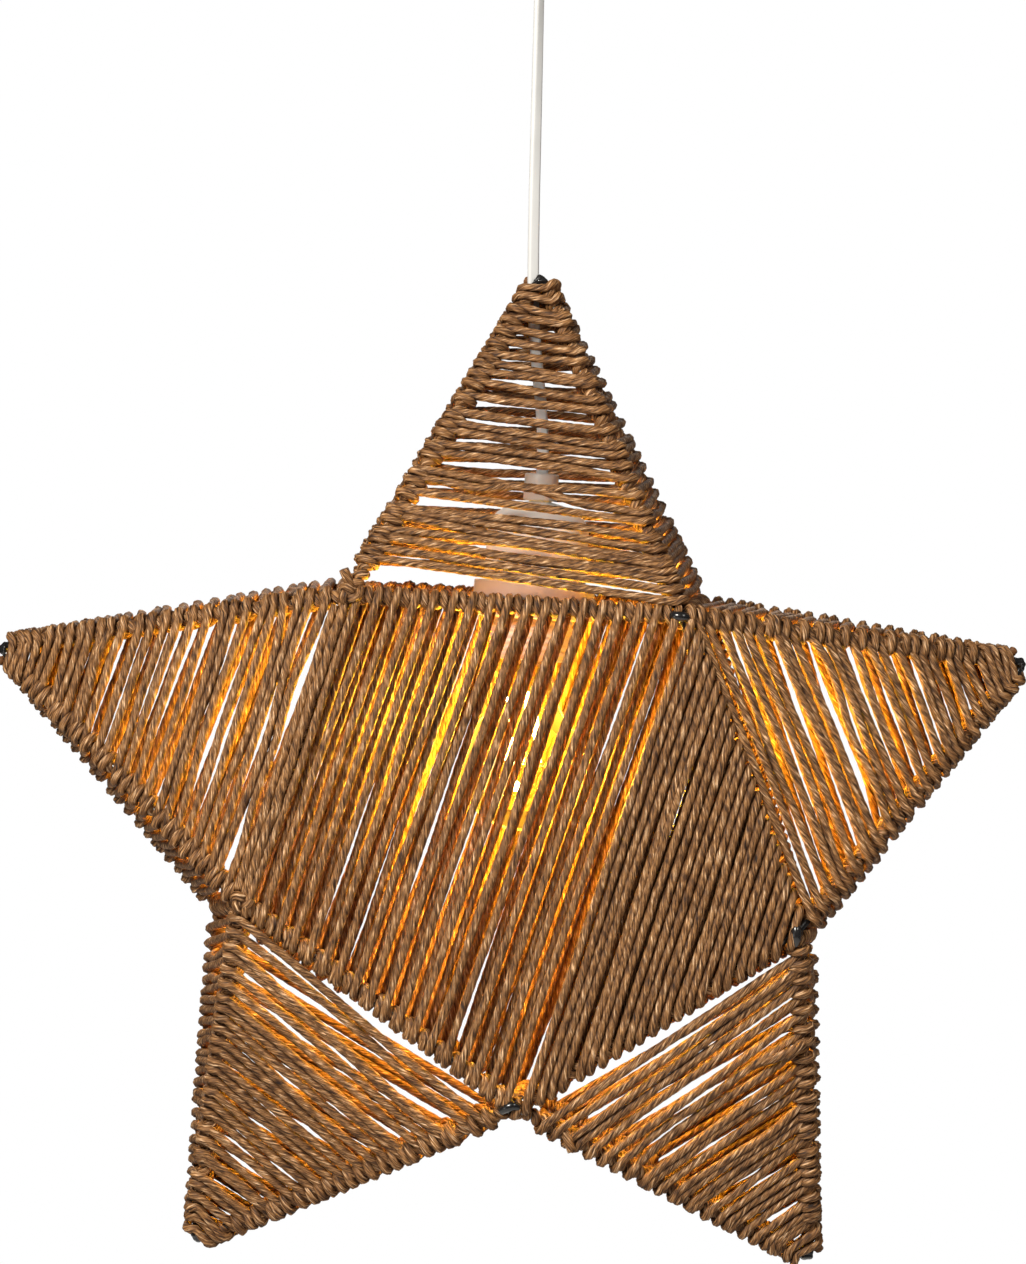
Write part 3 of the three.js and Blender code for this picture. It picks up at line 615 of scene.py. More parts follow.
for side, (corners, bends) in SIDES.items():
    wire_piece(f"{side}_ring", rounded(corners, WIRE_BEND, True), True, f"{side}_ring_wire")
for index, arm in enumerate(ARMS):
    for side, (corners, bends) in SIDES.items():
        first, bend, last = corners[index - 1], bends[index], corners[index]
        legs = [first + unit(bend - first) * WIRE_RADIUS, bend, last + unit(bend - last) * WIRE_RADIUS]
        wire_piece(f"{arm}_arm_{side}", rounded(legs, WIRE_BEND, False), False, f"{arm}_arm_{side}_wire")
for name, front, back in zip(CORNERS, front_corners, back_corners):
    wire_piece(f"{name}_corner_bar", [front, back], False, f"{name}_strut")
for side in SIDES:
    node = f"fitter_spoke_{side}"
    wire_piece(f"{side}_holder_spoke", list(bar_ends(node)), False, node, radius=SPOKE_RADIUS)

# %% Weld lumps
WELD_RADIUS = 3.1 * MM
WELD_DEPTH = 3.4 * MM
WELD_UNEVENNESS = 0.07


def join_balls(name, balls, body, slot, material=None):
    """Makes one piece of many balls, each of which stays in its place."""
    select_only(*balls)
    bpy.ops.object.join()
    bpy.ops.object.transform_apply(location=True, rotation=True, scale=True)
    bpy.ops.object.shade_smooth()
    joined = bpy.context.object
    joined.name = name
    print(name, "is made of", len(balls), "balls")
    return finish_piece(joined, body, slot, material=material)


def weld_lump(spot, chance):
    bpy.ops.object.select_all(action="DESELECT")
    bpy.ops.mesh.primitive_ico_sphere_add(subdivisions=4, radius=WELD_RADIUS, location=Vector(spot))
    lump = bpy.context.object
    phase = chance.uniform(0.0, 6.0, 3)
    for vertex in lump.data.vertices:
        way = vertex.co.normalized()
        wave = math.sin(5.0 * way.x + phase[0]) + math.sin(6.0 * way.y + phase[1])
        wave += math.sin(7.0 * way.z + phase[2])
        vertex.co = vertex.co * (1.0 + WELD_UNEVENNESS * wave)
    return lump


def weld_spots():
    """A spot at each corner of the rings, and one inside each bend at the tips of the arms."""
    spots = [*front_corners, *back_corners]
    for corners, bends in SIDES.values():
        for index, bend in enumerate(bends):
            between = (corners[index - 1] + corners[index]) / 2.0
            spots.append(bend + unit(between - bend) * WELD_DEPTH)
    return spots


weld_chance = np.random.default_rng(11)
join_balls("weld_lumps", [weld_lump(spot, weld_chance) for spot in weld_spots()], "star", "black_wire")

# %% [markdown]
# ## The twisted rope
# Five plies lie in the rope with grooves between them. They could be five thin tubes that go
# round each other, but half of each would never show. So the rope is one tube, whose section
# has five lobes and turns to the left on its way, once in 29 mm, as the plies of the real rope
# do. The rope swells and thins a little, and its twist runs faster and slower, so no two
# lengths are alike. Each place on it also gets its value of painted shade for the crevices,
# from how near the strand that it faces lies.

# %% The twisted rope
ROPE_SIDES = 20
ROPE_LAY = 29.0 * MM
ROPE_STEP = 1.3 * MM
GROOVE_DEPTH = 0.16
GROOVE_ROUNDNESS = 0.8
MOST_TRIANGLES = 165_000
TAUT_ROPE = 2.1 * MM
THIN_ROPE = 2.0 * MM

# How much the rope swells, its plies rise and its twist runs ahead, and over what lengths.
SWELL, SWELL_SPAN = 0.04, 8.0 * MM
PLY_RISE, PLY_SPAN = 0.03, 5.0 * MM
TWIST_DRIFT, TWIST_SPAN = 0.45, 24.0 * MM

# Another strand shades the rope from the first distance on, and fully from the second. Both run
# from middle line to middle line and are counted in radii of the rope.
CREVICE_REACH = 3.3
CREVICE_FULL = 1.6
CREVICE_SHARPNESS = 1.5


def slow_noise(chance, travelled, span):
    """A smooth random value along the rope, about 0, that changes over the given length."""
    knots = chance.normal(0.0, 1.0, int(travelled[-1] / span) + 4)
    place = travelled / span
    low = place.astype(int)
    share = place - low
    share = share * share * (3.0 - 2.0 * share)
    return knots[low] * (1.0 - share) + knots[low + 1] * share


def paint_crevice_shade(piece, points, travelled, radius):
    """Painted shade for the crevices: near 1 where a place is turned to another strand that lies close.
    """
    reach = CREVICE_REACH * radius
    tree = KDTree(len(points))
    for index, point in enumerate(points):
        tree.insert(point, index)
    tree.balance()
    places = np.empty(3 * len(piece.data.vertices))
    piece.data.vertices.foreach_get("co", places)
    outwards = places.reshape(-1, 3)[: len(points) * ROPE_SIDES].reshape(len(points), ROPE_SIDES, 3)
    outwards = outwards - points[:, None, :]
    outwards /= np.linalg.norm(outwards, axis=2)[:, :, None]
    marks = np.zeros((len(points), ROPE_SIDES))
    for index, point in enumerate(points):
        near = [other for _, other, _ in tree.find_range(point, reach)]
        near = [other for other in near if abs(travelled[other] - travelled[index]) > 2.0 * reach]
        if near:
            ways = points[near] - point
            gaps = np.linalg.norm(ways, axis=1)
            weights = np.clip((reach - gaps) / (reach - CREVICE_FULL * radius), 0.0, 1.0)
            turned = np.clip(outwards[index] @ (ways / gaps[:, None]).T, 0.0, 1.0)
            marks[index] = np.max(turned**CREVICE_SHARPNESS * weights, axis=1)
    painted_crevice_shade = piece.data.attributes.new("painted_crevice_shade", "FLOAT", "POINT")
    painted_crevice_shade.data.foreach_set("value", np.concatenate([marks.reshape(-1), np.zeros(2)]).astype(np.float32))


# %% A length of rope


def rope_piece(name, path, seed, *replaced, radius=ROPE_RADIUS):
    chance = np.random.default_rng(seed)
    length = float(np.sum(np.linalg.norm(np.diff(np.asarray(path), axis=0), axis=1)))
    step = max(ROPE_STEP, 2.0 * ROPE_SIDES * length / MOST_TRIANGLES)
    points, travelled = even_points(path, step)
    around = 2.0 * math.pi * np.arange(ROPE_SIDES) / ROPE_SIDES
    groove = 1.0 - np.abs(np.sin(ROPE_PLIES * around / 2.0)) ** GROOVE_ROUNDNESS
    swell = 1.0 + SWELL * slow_noise(chance, travelled, SWELL_SPAN)
    rise = PLY_RISE * slow_noise(chance, travelled, PLY_SPAN)
    plies = 1.0 + rise[:, None] * np.cos(around)[None, :]
    radii = radius * swell[:, None] * (1.0 - GROOVE_DEPTH * groove)[None, :] * plies
    drift = TWIST_DRIFT * slow_noise(chance, travelled, TWIST_SPAN)
    twist = 2.0 * math.pi * travelled / ROPE_LAY + drift
    angles = around[None, :] - twist[:, None]
    piece = swept_mesh(name, points, radii, angles, travelled, ROPE_LAY)
    paint_crevice_shade(piece, points, travelled, radius)
    finish_piece(piece, "star", "paper_rope", *replaced)
    print(name, "is", round(length, 2), "m of rope in", len(piece.data.polygons), "faces")
    return piece


# %% [markdown]
# ## Winding an arm
# Each arm is wound with one length of rope, from the ring outwards. The rope goes over the
# outside of a wire in a thick knuckle, takes one more turn round it, tight to the wire, which
# fills the notch between two knuckles, and crosses to the next wire. The four legs of an arm
# are visited in turn, front left, front right, back right and back left, each visit a little
# further out. Near the tip, where the legs come together, the rope just goes round them all.
# Straight tubes side by side would be quicker to make, but they would have no knuckles and
# nowhere to end, so the functions below walk the whole way that the rope takes.

# %% Crossing from wire to wire
ARC_STEP = math.radians(20.0)
CROSSING_STEP = 6.0 * MM
LONG_CROSSING = 90.0 * MM
WAVE_HEIGHT = 0.9
ARCH_FULLNESS = 1.4


def crossing(start, end, slack, chance, bow=0.0):
    """Points between two wires. The slack bends the rope in waves, and the bow in one arch."""
    reach = np.linalg.norm(end - start)
    count = max(int(reach / CROSSING_STEP), 2)
    shares = np.arange(1, count) / count
    rises = np.sin(math.pi * shares)
    for waves in (2, 3, 5):
        rises = rises + chance.normal(0.0, WAVE_HEIGHT) / waves * np.sin(math.pi * waves * shares)
    rises = rises * min(reach / LONG_CROSSING, 1.0)
    arch = np.minimum(4.0 * shares * (1.0 - shares) * ARCH_FULLNESS, 1.0)[:, None] * bow
    return start + (end - start) * shares[:, None] + slack * rises[:, None] + arch


# %% How an arm is wound
ARM_ROWS = {"top": 27, "right": 27, "lower_right": 26, "lower_left": 28, "left": 27}
# How far from the ring the first row lies, in millimetres.
ARM_START = {"top": 10.3, "right": 4.8, "lower_right": 8.6, "lower_left": 7.6, "left": 7.0}
ARM_STOP = 4.2 * MM
ROW_UNEVENNESS = 0.36
VISIT_UNEVENNESS = 0.15
KNUCKLE_LIFT = 1.2 * MM
TUCK = 1.6 * MM
LEGS_TOGETHER = 17.0 * MM
SLACK = 1.1 * MM

# How close the rows lie, from the base to the tip, as shares of the even distance.
ROW_SPACING = {
    "top": (0.95, 0.62, 0.75, 1.10, 1.15, 1.10, 1.15, 1.10, 0.95, 0.72),
    "right": (1.0, 1.0, 1.0, 1.1, 1.1, 1.1, 1.0, 1.0, 0.85, 0.72),
    "lower_right": (1.2, 1.0, 1.1, 1.0, 1.0, 0.9, 0.9, 0.9, 0.8, 0.72),
    "lower_left": (1.2, 1.1, 0.9, 0.9, 0.9, 0.95, 0.95, 0.9, 0.8, 0.72),
    "left": (1.1, 1.0, 1.0, 1.1, 1.1, 1.1, 1.0, 0.9, 0.8, 0.72),
}
# How much further out than the other legs the rope meets a leg at the base, as a share of the
# arm's height. The front legs come first, then the back ones.
ARM_LEAN = {
    "top": (0.040, -0.036, 0.0, 0.0),
    "right": (-0.020, 0.020, 0.0, -0.01),
    "lower_right": (-0.010, 0.0, 0.0, 0.0),
    "lower_left": (0.0, -0.010, 0.0, 0.0),
    "left": (0.0, 0.012, 0.0, -0.01),
}
# The same, but for a place a little above the base, where the rows near a corner stand apart.
ARM_FAN = {"lower_right": (-0.015, 0.035, 0.0, 0.0), "lower_left": (0.035, -0.015, 0.0, 0.0)}
NO_FAN = (0.0, 0.0, 0.0, 0.0)
FAN_PLACE = 0.2

# %% A turn round a leg


def arm_legs(index):
    return [
        (front_corners[index - 1], front_bends[index]),
        (front_corners[index], front_bends[index]),
        (back_corners[index], back_bends[index]),
        (back_corners[index - 1], back_bends[index]),
    ]


def arm_turn(centre, heading, outward, coming, corner, extra, advance, lift):
    """Over the outside of a leg and, where there is an extra turn, once more round its wire."""
    total = corner + 2.0 * math.pi * extra
    count = max(math.ceil(total / ARC_STEP), 3)
    turns = [0.0, corner, 2.0 * math.pi, total]
    points = []
    for i in range(count + 1):
        turned = total * i / count
        if extra:
            along = np.interp(turned, turns, [-1.0, -0.8, 0.8, 1.0])
            rise = np.interp(turned, turns, [0.0, 0.0, -TUCK, -TUCK])
        else:
            along = 2.0 * i / count - 1.0
            rise = 0.0
        if turned < corner:
            rise += lift * math.sin(math.pi * turned / corner)
        spoke = outward * math.cos(turned) + coming * math.sin(turned)
        points.append(centre + heading * advance * along + spoke * (SEAT + rise))
    return points


# %% The route of an arm's rope


def visit_shares(arm, first, last, chance):
    """How far out the rope meets the legs, visit by visit, as shares of the arm's height."""
    rows, spacing = ARM_ROWS[arm], ROW_SPACING[arm]
    rises = np.interp(np.linspace(0.0, 1.0, rows), np.linspace(0.0, 1.0, len(spacing)), spacing)
    rises *= 1.0 + ROW_UNEVENNESS * chance.uniform(-1.0, 1.0, rows)
    marks = np.r_[0.0, np.cumsum(rises)]
    visits = 4 * rows
    places = np.interp(np.arange(visits) / 4.0, np.arange(rows + 1), marks / marks[-1])
    shares = first + (last - first) * places
    shares += (last - first) / rows * VISIT_UNEVENNESS * chance.normal(0.0, 1.0, visits)
    shares = np.clip(shares, first, last)
    shares += np.resize(ARM_LEAN[arm], visits) * (1.0 - shares)
    fan = np.resize(ARM_FAN.get(arm, NO_FAN), visits)
    return shares + fan * shares / FAN_PLACE * np.exp(1.0 - shares / FAN_PLACE)


def arm_path(index, seed):
    arm = ARMS[index]
    chance = np.random.default_rng(seed)
    legs = arm_legs(index)
    headings = [unit(bend - root) for root, bend in legs]
    spine = np.mean([root for root, _ in legs], axis=0), np.mean([bend for _, bend in legs], axis=0)
    lengths = [np.linalg.norm(bend - root) for root, bend in legs]
    height = np.linalg.norm(spine[1] - spine[0])
    first = ARM_START[arm] * MM / height
    last = 1.0 - ARM_STOP / height
    pitch = (last - first) / ARM_ROWS[arm]
    path = []
    for visit, share in enumerate(visit_shares(arm, first, last, chance)):
        leg = visit % 4
        here, before, after = (
            legs[i % 4][0] + (legs[i % 4][1] - legs[i % 4][0]) * share for i in (leg, leg - 1, leg + 1)
        )
        heading = headings[leg]
        away = here - (spine[0] + (spine[1] - spine[0]) * share)
        coming = square_to(here - before, heading)
        going = square_to(after - here, heading)
        outward = unit(np.cross(heading, coming))
        outward = outward if np.dot(outward, away) > 0 else -outward
        corner = math.atan2(-float(np.dot(going, outward)), float(np.dot(going, coming)))
        corner %= 2.0 * math.pi
        nearest = min(np.linalg.norm(here - before), np.linalg.norm(here - after))
        extra = 1 if nearest > LEGS_TOGETHER else 0
        advance = pitch * lengths[leg] / 4.0
        lift = KNUCKLE_LIFT * chance.uniform(0.7, 1.3)
        arc = arm_turn(here, heading, outward, coming, corner, extra, advance, lift)
        slack = outward * chance.normal(0.0, 0.3) + heading * chance.normal(0.0, 1.0)
        if path:
            path.extend(crossing(path[-1], arc[0], slack * SLACK, chance))
        path.extend(arc)
    return path


# %% The ropes of the five arms
for index, arm in enumerate(ARMS):
    route = arm_path(index, 20 + index)
    rope_piece(f"{arm}_arm_rope", route, 40 + index, f"{arm}_arm_winding", radius=TAUT_ROPE)

# %% [markdown]
# ## The front and the back
# Over the front ring the rope hangs from the top edge to the lower left edge and comes up
# again behind, in the gap between two hanging lengths. On both edges it takes one more turn,
# which covers the wire. Then it goes on from the right edge to the lower right one, where it
# crosses the wires at a slant and lies so close that no light comes through. The back is wound
# in the same way but for its right corner, which is left open for a hand.
#
# A rope that crosses an edge at a slant turns back on itself there, so on its way round the
# wire it first goes on in the direction that it came in, and then swings back. A plain half
# circle would leave a kink in its place, which shows in a row of twenty.

# %% The edges of a ring


class Edge:
    """One edge of a ring, with the direction along it and the one that points out of the ring."""

    def __init__(self, corners, start, end):
        self.start = corners[start]
        self.heading = unit(corners[end] - corners[start])
        self.length = float(np.linalg.norm(corners[end] - corners[start]))
        outward = np.cross(self.heading, (0.0, 1.0, 0.0))
        from_middle = (corners[start] + corners[end]) / 2.0 - star_middle
        self.outward = unit(outward if np.dot(outward, from_middle) > 0 else -outward)
        self.end = self.place(self.length)

    def place(self, distance):
        return self.start + self.heading * distance

    def swing(self, way):
        """How far along the edge a rope that comes in along this way goes on round the wire."""
        return SEAT * float(np.dot(way, self.heading)) / abs(float(np.dot(way, self.outward)))


# %% A turn round an edge


def edge_turn(edge, distance, face, way, pitch, extra, leaving_front, lift):
    """Round the wire of an edge, from one face to the other. The way is the strand's own, down.
    The turn beside the shown strand lies lower on the wire, and fills the gap to the next."""
    total = math.pi + 2.0 * math.pi * extra
    count = math.ceil(total / ARC_STEP)
    if extra:
        turns = [0.0, math.pi, 2.0 * math.pi, total]
        marks = [-0.60, -0.50, 0.0, 0.10] if leaving_front else [-0.10, 0.0, 0.50, 0.60]
        rises = [0.0, -TUCK, -TUCK, 0.0]
    else:
        turns = [0.0, total]
        marks = [-0.5, 0.0] if leaving_front else [0.0, 0.5]
        rises = [0.0, 0.0]
    swing = edge.swing(way) * (-1.0 if leaving_front else 1.0)
    points = []
    for i in range(count + 1):
        turned = total * i / count
        along = pitch * np.interp(turned, turns, marks)
        if turned < math.pi / 2.0:
            along -= swing * (1.0 - math.sin(turned))
        if total - turned < math.pi / 2.0:
            along -= swing * (1.0 - math.sin(total - turned))
        spoke = face * math.cos(turned) + edge.outward * math.sin(turned)
        rise = SEAT + lift * abs(math.sin(turned)) + np.interp(turned, turns, rises)
        points.append(edge.place(distance) + edge.heading * along + spoke * rise)
    return points


# %% The route of a panel's rope
INTO_STAR = np.array((0.0, 1.0, 0.0))
EDGE_LIFT = 0.5 * MM
BACK_TOP_LIFT = -1.7 * MM
PANEL_SLACK = 0.8 * MM
STRAND_BOW = 0.8 * MM
RETURN_BOW = 2.8 * MM


def panel_path(passes, front_side, seed, top_lift=EDGE_LIFT):
    """passes has, for each hanging length, its two edges, its two places, the two pitches and
    how many more turns it takes on the edges."""
    chance = np.random.default_rng(seed)
    shown = -INTO_STAR if front_side else INTO_STAR
    path = []
    for upper, lower, high, low, high_pitch, low_pitch, extra in passes:
        way = unit(lower.place(low) - upper.place(high))
        high_lift = top_lift * chance.uniform(0.6, 1.4)
        low_lift = EDGE_LIFT * chance.uniform(0.6, 1.4)
        turns = [
            edge_turn(upper, high, -shown, way, high_pitch, extra, True, high_lift),
            edge_turn(lower, low, shown, way, low_pitch, extra, False, low_lift),
        ]
        for edge, turn in zip((upper, lower), turns):
            if path:
                slack = edge.heading * chance.normal(0.0, 1.0) + shown * chance.normal(0.0, 0.3)
                bow = shown * (RETURN_BOW if edge is upper else -STRAND_BOW)
                path.extend(crossing(path[-1], turn[0], slack * PANEL_SLACK, chance, bow))
            path.extend(turn)
    return path


# %% Where the lengths of a panel hang


def even_places(edge, margins, count, unevenness, chance):
    """Places on an edge, nearly as far from each other as the pitch says, and the pitch."""
    low, high = margins[0], edge.length - margins[1]
    pitch = (high - low) / (count - 1)
    return low + pitch * (np.arange(count) + unevenness * chance.uniform(-1.0, 1.0, count)), pitch


def make_passes(edges, names, margins, count, extra, seed, unevenness):
    chance = np.random.default_rng(seed)
    upper, lower = edges[names[0]], edges[names[1]]
    highs, high_pitch = even_places(upper, margins, count, unevenness, chance)
    lows, low_pitch = even_places(lower, margins, count, unevenness, chance)
    return [(upper, lower, high, low, high_pitch, low_pitch, extra) for high, low in zip(highs, lows)]


def ring_edges(corners):
    return {
        "top": Edge(corners, TOP_LEFT, TOP_RIGHT),
        "lower_left": Edge(corners, LEFT, BOTTOM),
        "right": Edge(corners, TOP_RIGHT, RIGHT),
        "lower_right": Edge(corners, BOTTOM, RIGHT),
        "left": Edge(corners, TOP_LEFT, LEFT),
    }


# %% The front panel and the back panel
FRONT_HANGING = 18
FRONT_CLOSE = 22
BACK_HANGING = 20
HANGING_MARGINS = (5.0 * MM, 2.6 * MM)
CLOSE_MARGINS = (2.6 * MM, 9.0 * MM)
HANGING_EDGES = ("top", "lower_left")
CLOSE_EDGES = ("right", "lower_right")

front_edges = ring_edges(front_corners)
back_edges = ring_edges(back_corners)
passes = make_passes(front_edges, HANGING_EDGES, HANGING_MARGINS, FRONT_HANGING, 1, 61, 0.06)
rope_piece("front_panel_rope", panel_path(passes, True, 65), 66, "front_panel_winding", radius=THIN_ROPE)
passes = make_passes(front_edges, CLOSE_EDGES, CLOSE_MARGINS, FRONT_CLOSE, 0, 63, 0.22)
rope_piece("front_close_rope", panel_path(passes, True, 67), 68, "front_panel_winding", radius=TAUT_ROPE)
passes = make_passes(back_edges, HANGING_EDGES, HANGING_MARGINS, BACK_HANGING, 0, 71, 0.2)
rope_piece("back_panel_rope", panel_path(passes, False, 75, BACK_TOP_LIFT), 76, "back_panel_winding")

# %% [markdown]
# ## Rope on the wires
# The short bars that join the two rings are covered too, and so are the edges of the rings
# that no panel rope goes over. There the rope is a plain spiral, close to the wire. A flatter
# spiral lies under the turns on every other wire, so that no black shows in the notches
# between them, except at the tips and at some corners. The wire could just be painted brown
# there, but a smooth bar would show between the ropes. On the left edges, some lengths of rope
# lie straight on the wire, tucked under the turns at both ends.

# %% A spiral round a wire
SPIRAL_PITCH = 4.4 * MM
SPIRAL_SIDES = 14
UNDER_SEAT = 1.75 * MM
UNDER_PITCH = 4.9 * MM
TIP_MARGIN = 9.0 * MM
BAR_MARGINS = (3.5 * MM, 5.0 * MM)
EDGE_MARGINS = (8.0 * MM, 8.0 * MM)


def spiral_path(start, end, margins, pitch=SPIRAL_PITCH, seat=SEAT):
    heading = unit(end - start)
    side = square_to(np.array((1.0, 0.3, 0.3)), heading)
    other = np.cross(heading, side)
    length = float(np.linalg.norm(end - start)) - sum(margins)
    turns = length / pitch
    count = int(turns * SPIRAL_SIDES)
    path = []
    for i in range(count + 1):
        share = i / count
        angle = 2.0 * math.pi * turns * share
        spoke = side * math.cos(angle) + other * math.sin(angle)
        path.append(start + heading * (margins[0] + length * share) + spoke * seat)
    return path


def under_rope(name, start, end, margins, seed):
    rope_piece(name, spiral_path(start, end, margins, UNDER_PITCH, UNDER_SEAT), seed)


# %% Rope on the bars and the open edges
for name, front, back in zip(CORNERS, front_corners, back_corners):
    rope_piece(f"{name}_bar_rope", spiral_path(front, back, BAR_MARGINS), 80 + CORNERS.index(name))
for name in CLOSE_EDGES:
    edge = back_edges[name]
    route = spiral_path(edge.start, edge.end, EDGE_MARGINS)
    rope_piece(f"back_{name}_edge_rope", route, 90 + len(name))

# %% Rope under the turns
# How far from a corner the rope under the turns begins, in millimetres: at both ends of an edge
# of the front ring, and at the foot of a leg. A few legs stay bare for a little longer.
UNDER_EDGES = {
    "top": (3.0, 9.0),
    "lower_left": (3.0, 7.0),
    "right": (8.0, 9.0),
    "lower_right": (7.0, 9.0),
    "left": (2.0, 2.0),
}
FOOT_MARGIN = 3.0
BARE_FEET = {("top", 1): 6.0, ("right", 1): 6.0, ("lower_right", 1): 5.0, ("lower_left", 0): 5.0}

for number, (name, margins) in enumerate(UNDER_EDGES.items()):
    edge = front_edges[name]
    under_rope(f"front_{name}_under_rope", edge.start, edge.end, np.array(margins) * MM, 110 + number)
for name in HANGING_EDGES:
    edge = back_edges[name]
    under_rope(f"back_{name}_under_rope", edge.start, edge.end, EDGE_MARGINS, 120 + len(name))
for index, arm in enumerate(ARMS):
    for number, (root, bend) in enumerate(arm_legs(index)):
        margins = (BARE_FEET.get((arm, number), FOOT_MARGIN) * MM, TIP_MARGIN)
        under_rope(f"{arm}_arm_under_rope_{number + 1}", root, bend, margins, 130 + 4 * index + number)

# %% Ropes laid along the left edges
LAID_STEP = 8.0 * MM
LAID_TUCK = 1.2 * MM
LAID_WAVE = 0.25 * MM
TUCK_STEEPNESS = 20.0


def laid_path(edge, offset, depth, ends, seed):
    """A rope that lies along an edge, at an offset out of the ring, a little wavy."""
    chance = np.random.default_rng(seed)
    reach = edge.length - ends[0] - ends[1]
    count = int(reach / LAID_STEP)
    path = []
    for i in range(count + 1):
        share = i / count
        near_ends = math.exp(-share * TUCK_STEEPNESS) + math.exp((share - 1.0) * TUCK_STEEPNESS)
        wave = LAID_WAVE * chance.normal()
        place = edge.place(ends[0] + reach * share) + edge.outward * (offset + wave)
        path.append(place - INTO_STAR * (depth - LAID_TUCK * near_ends))
    return path


# For each rope: its edge, how far out of the ring and in front of it the rope lies, how far
# from the corners it ends, the seed of its waves and its own.
front_left, back_left = front_edges["left"], back_edges["left"]
LAID_ROPES = {
    "left_edge_rope": (front_left, 0.4 * MM, SEAT, (3.0 * MM, 3.0 * MM), 95, 96),
    "left_edge_second_rope": (front_left, 4.4 * MM, 2.2 * MM, (6.0 * MM, 5.0 * MM), 97, 98),
    "back_left_edge_rope": (back_left, 0.5 * MM, 0.5 * MM, (4.0 * MM, 4.0 * MM), 101, 103),
    "back_left_second_rope": (back_left, -3.6 * MM, 2.6 * MM, (4.0 * MM, 4.0 * MM), 102, 104),
}
for name, (edge, offset, depth, ends, wave_seed, rope_seed) in LAID_ROPES.items():
    rope_piece(name, laid_path(edge, offset, depth, ends, wave_seed), rope_seed)

# %% [markdown]
# ## Loose ends, bare wire and knots
# The rope is knotted at the upper left and the left corner and beside the upper tip, and two
# short ends stick out where a length stops. On the lower right arm one turn stands off the wire
# in a loose loop. A real knot could be tied in a simulation, but so small and tight a one only
# needs the right crossings, which a formula gives. At three corners of the front ring a short
# bit of bare wire stands out of the rope.

# %% The routes of knots and arcs, and the loose ends
KNOT_STEPS = 60
ARC_PLACES = 40
SMOOTHINGS = 30


def knot_path(centre, reach, tilt):
    """A small overhand knot, pulled tight, as wide, deep and high as its reach says."""
    path = []
    for i in range(KNOT_STEPS + 1):
        turned = 2.0 * math.pi * i / KNOT_STEPS
        across = (math.sin(turned) + 2.0 * math.sin(2.0 * turned)) / 3.0
        up = (math.cos(turned) - 2.0 * math.cos(2.0 * turned)) / 3.0
        place = Vector((reach[0] * across, -reach[1] * math.sin(3.0 * turned), reach[2] * up))
        path.append(centre + np.array(Matrix.Rotation(tilt, 3, "Y") @ place))
    return path


def arc_path(points):
    """A smooth route near a few places, from the first to the last."""
    points = np.array(points) * MM
    shares = np.linspace(0.0, 1.0, len(points))
    wanted = np.linspace(0.0, 1.0, ARC_PLACES)
    steps = np.stack([np.interp(wanted, shares, points[:, i]) for i in range(3)], axis=1)
    for _ in range(SMOOTHINGS):
        steps[1:-1] = (steps[:-2] + 2.0 * steps[1:-1] + steps[2:]) / 4.0
    return steps


def beside(corner, x, y, z):
    return corner + np.array((x, y, z)) * MM


LOOSE_ENDS = {
    "upper_left_stub": [(-79.0, -60.0, -336.0), (-81.0, -61.0, -331.0), (-83.0, -62.0, -326.0)],
    "lower_right_stub": [(23.0, -53.0, -579.0), (25.5, -55.0, -584.0), (28.0, -55.0, -590.5)],
    "lower_right_loop": [
        (112.0, -43.0, -549.0), (124.0, -49.0, -545.0), (134.0, -47.0, -539.0), (138.5, -38.0, -534.0),
        (135.0, -28.0, -531.0), (124.0, -26.0, -534.0),
    ],
}
for number, (name, places) in enumerate(LOOSE_ENDS.items()):
    rope_piece(name, arc_path(places), 170 + number)

# %% Bare wire at the corners
BARE_RADIUS = 2.3 * MM
BARE_BITS = {
    "top_right_bare_wire": [
        (67.8, -63.0, -343.6), (69.6, -65.0, -343.7), (72.4, -65.2, -344.0), (74.4, -63.0, -344.2),
    ],
    "right_bare_wire": [
        (127.4, -62.0, -482.8), (127.6, -64.6, -485.4), (127.7, -64.8, -489.2), (127.6, -62.0, -492.0),
    ],
    "bottom_bare_wire": [
        (-4.8, -62.0, -571.4), (-2.4, -64.6, -570.0), (0.6, -64.6, -569.0), (3.0, -62.0, -570.2),
    ],
}
for name, places in BARE_BITS.items():
    wire_piece(name, arc_path(places), False, radius=BARE_RADIUS)

# %% Knots
# Each knot's middle, its reach to the side, forwards and upwards in millimetres, and its tilt.
KNOTS = {
    "top_left_knot": (beside(front_corners[TOP_LEFT], 0.0, -3.4, 0.6), (4.2, 2.6, 3.4), 0.5),
    "top_tip_knot": (beside(front_bends[0], 4.0, 3.0, -6.4), (4.6, 4.2, 3.0), -0.4),
    "left_corner_knot": (beside(front_corners[LEFT], -0.5, -1.2, 0.5), (4.4, 4.0, 3.6), 0.2),
}
for number, (name, (centre, reach, tilt)) in enumerate(KNOTS.items()):
    rope_piece(name, knot_path(centre, np.array(reach) * MM, tilt), 160 + number)

# %% [markdown]
# ## The lampholder, the bulb and the ceiling rose
# These pieces are round. A bevel could ease their edges afterwards, but where walls are thin it
# spoils them, so each is an outline with its corners already eased, which is then spun about
# its axis. Outlines are written in millimetres, radius first and then height, as the solids
# have them. The lampholder and the bulb lean a little, so their outlines are spun upright and
# the finished pieces are put on the leaning axis, which the bulb's joint names.

# %% Where the lampholder and the bulb are
bulb_joint = next(row for row in frame["joints"] if row["name"] == "bulb_turn")
holder_lean = Vector((0.0, 0.0, 1.0)).rotation_difference(Vector(bulb_joint["axis"]))
HOLDER_PLACE = Matrix.Translation(bulb_joint["pos_m"]) @ holder_lean.to_matrix().to_4x4()
UPRIGHT = Matrix.Identity(4)
print("the lampholder leans by", round(math.degrees(holder_lean.angle), 1), "degrees")

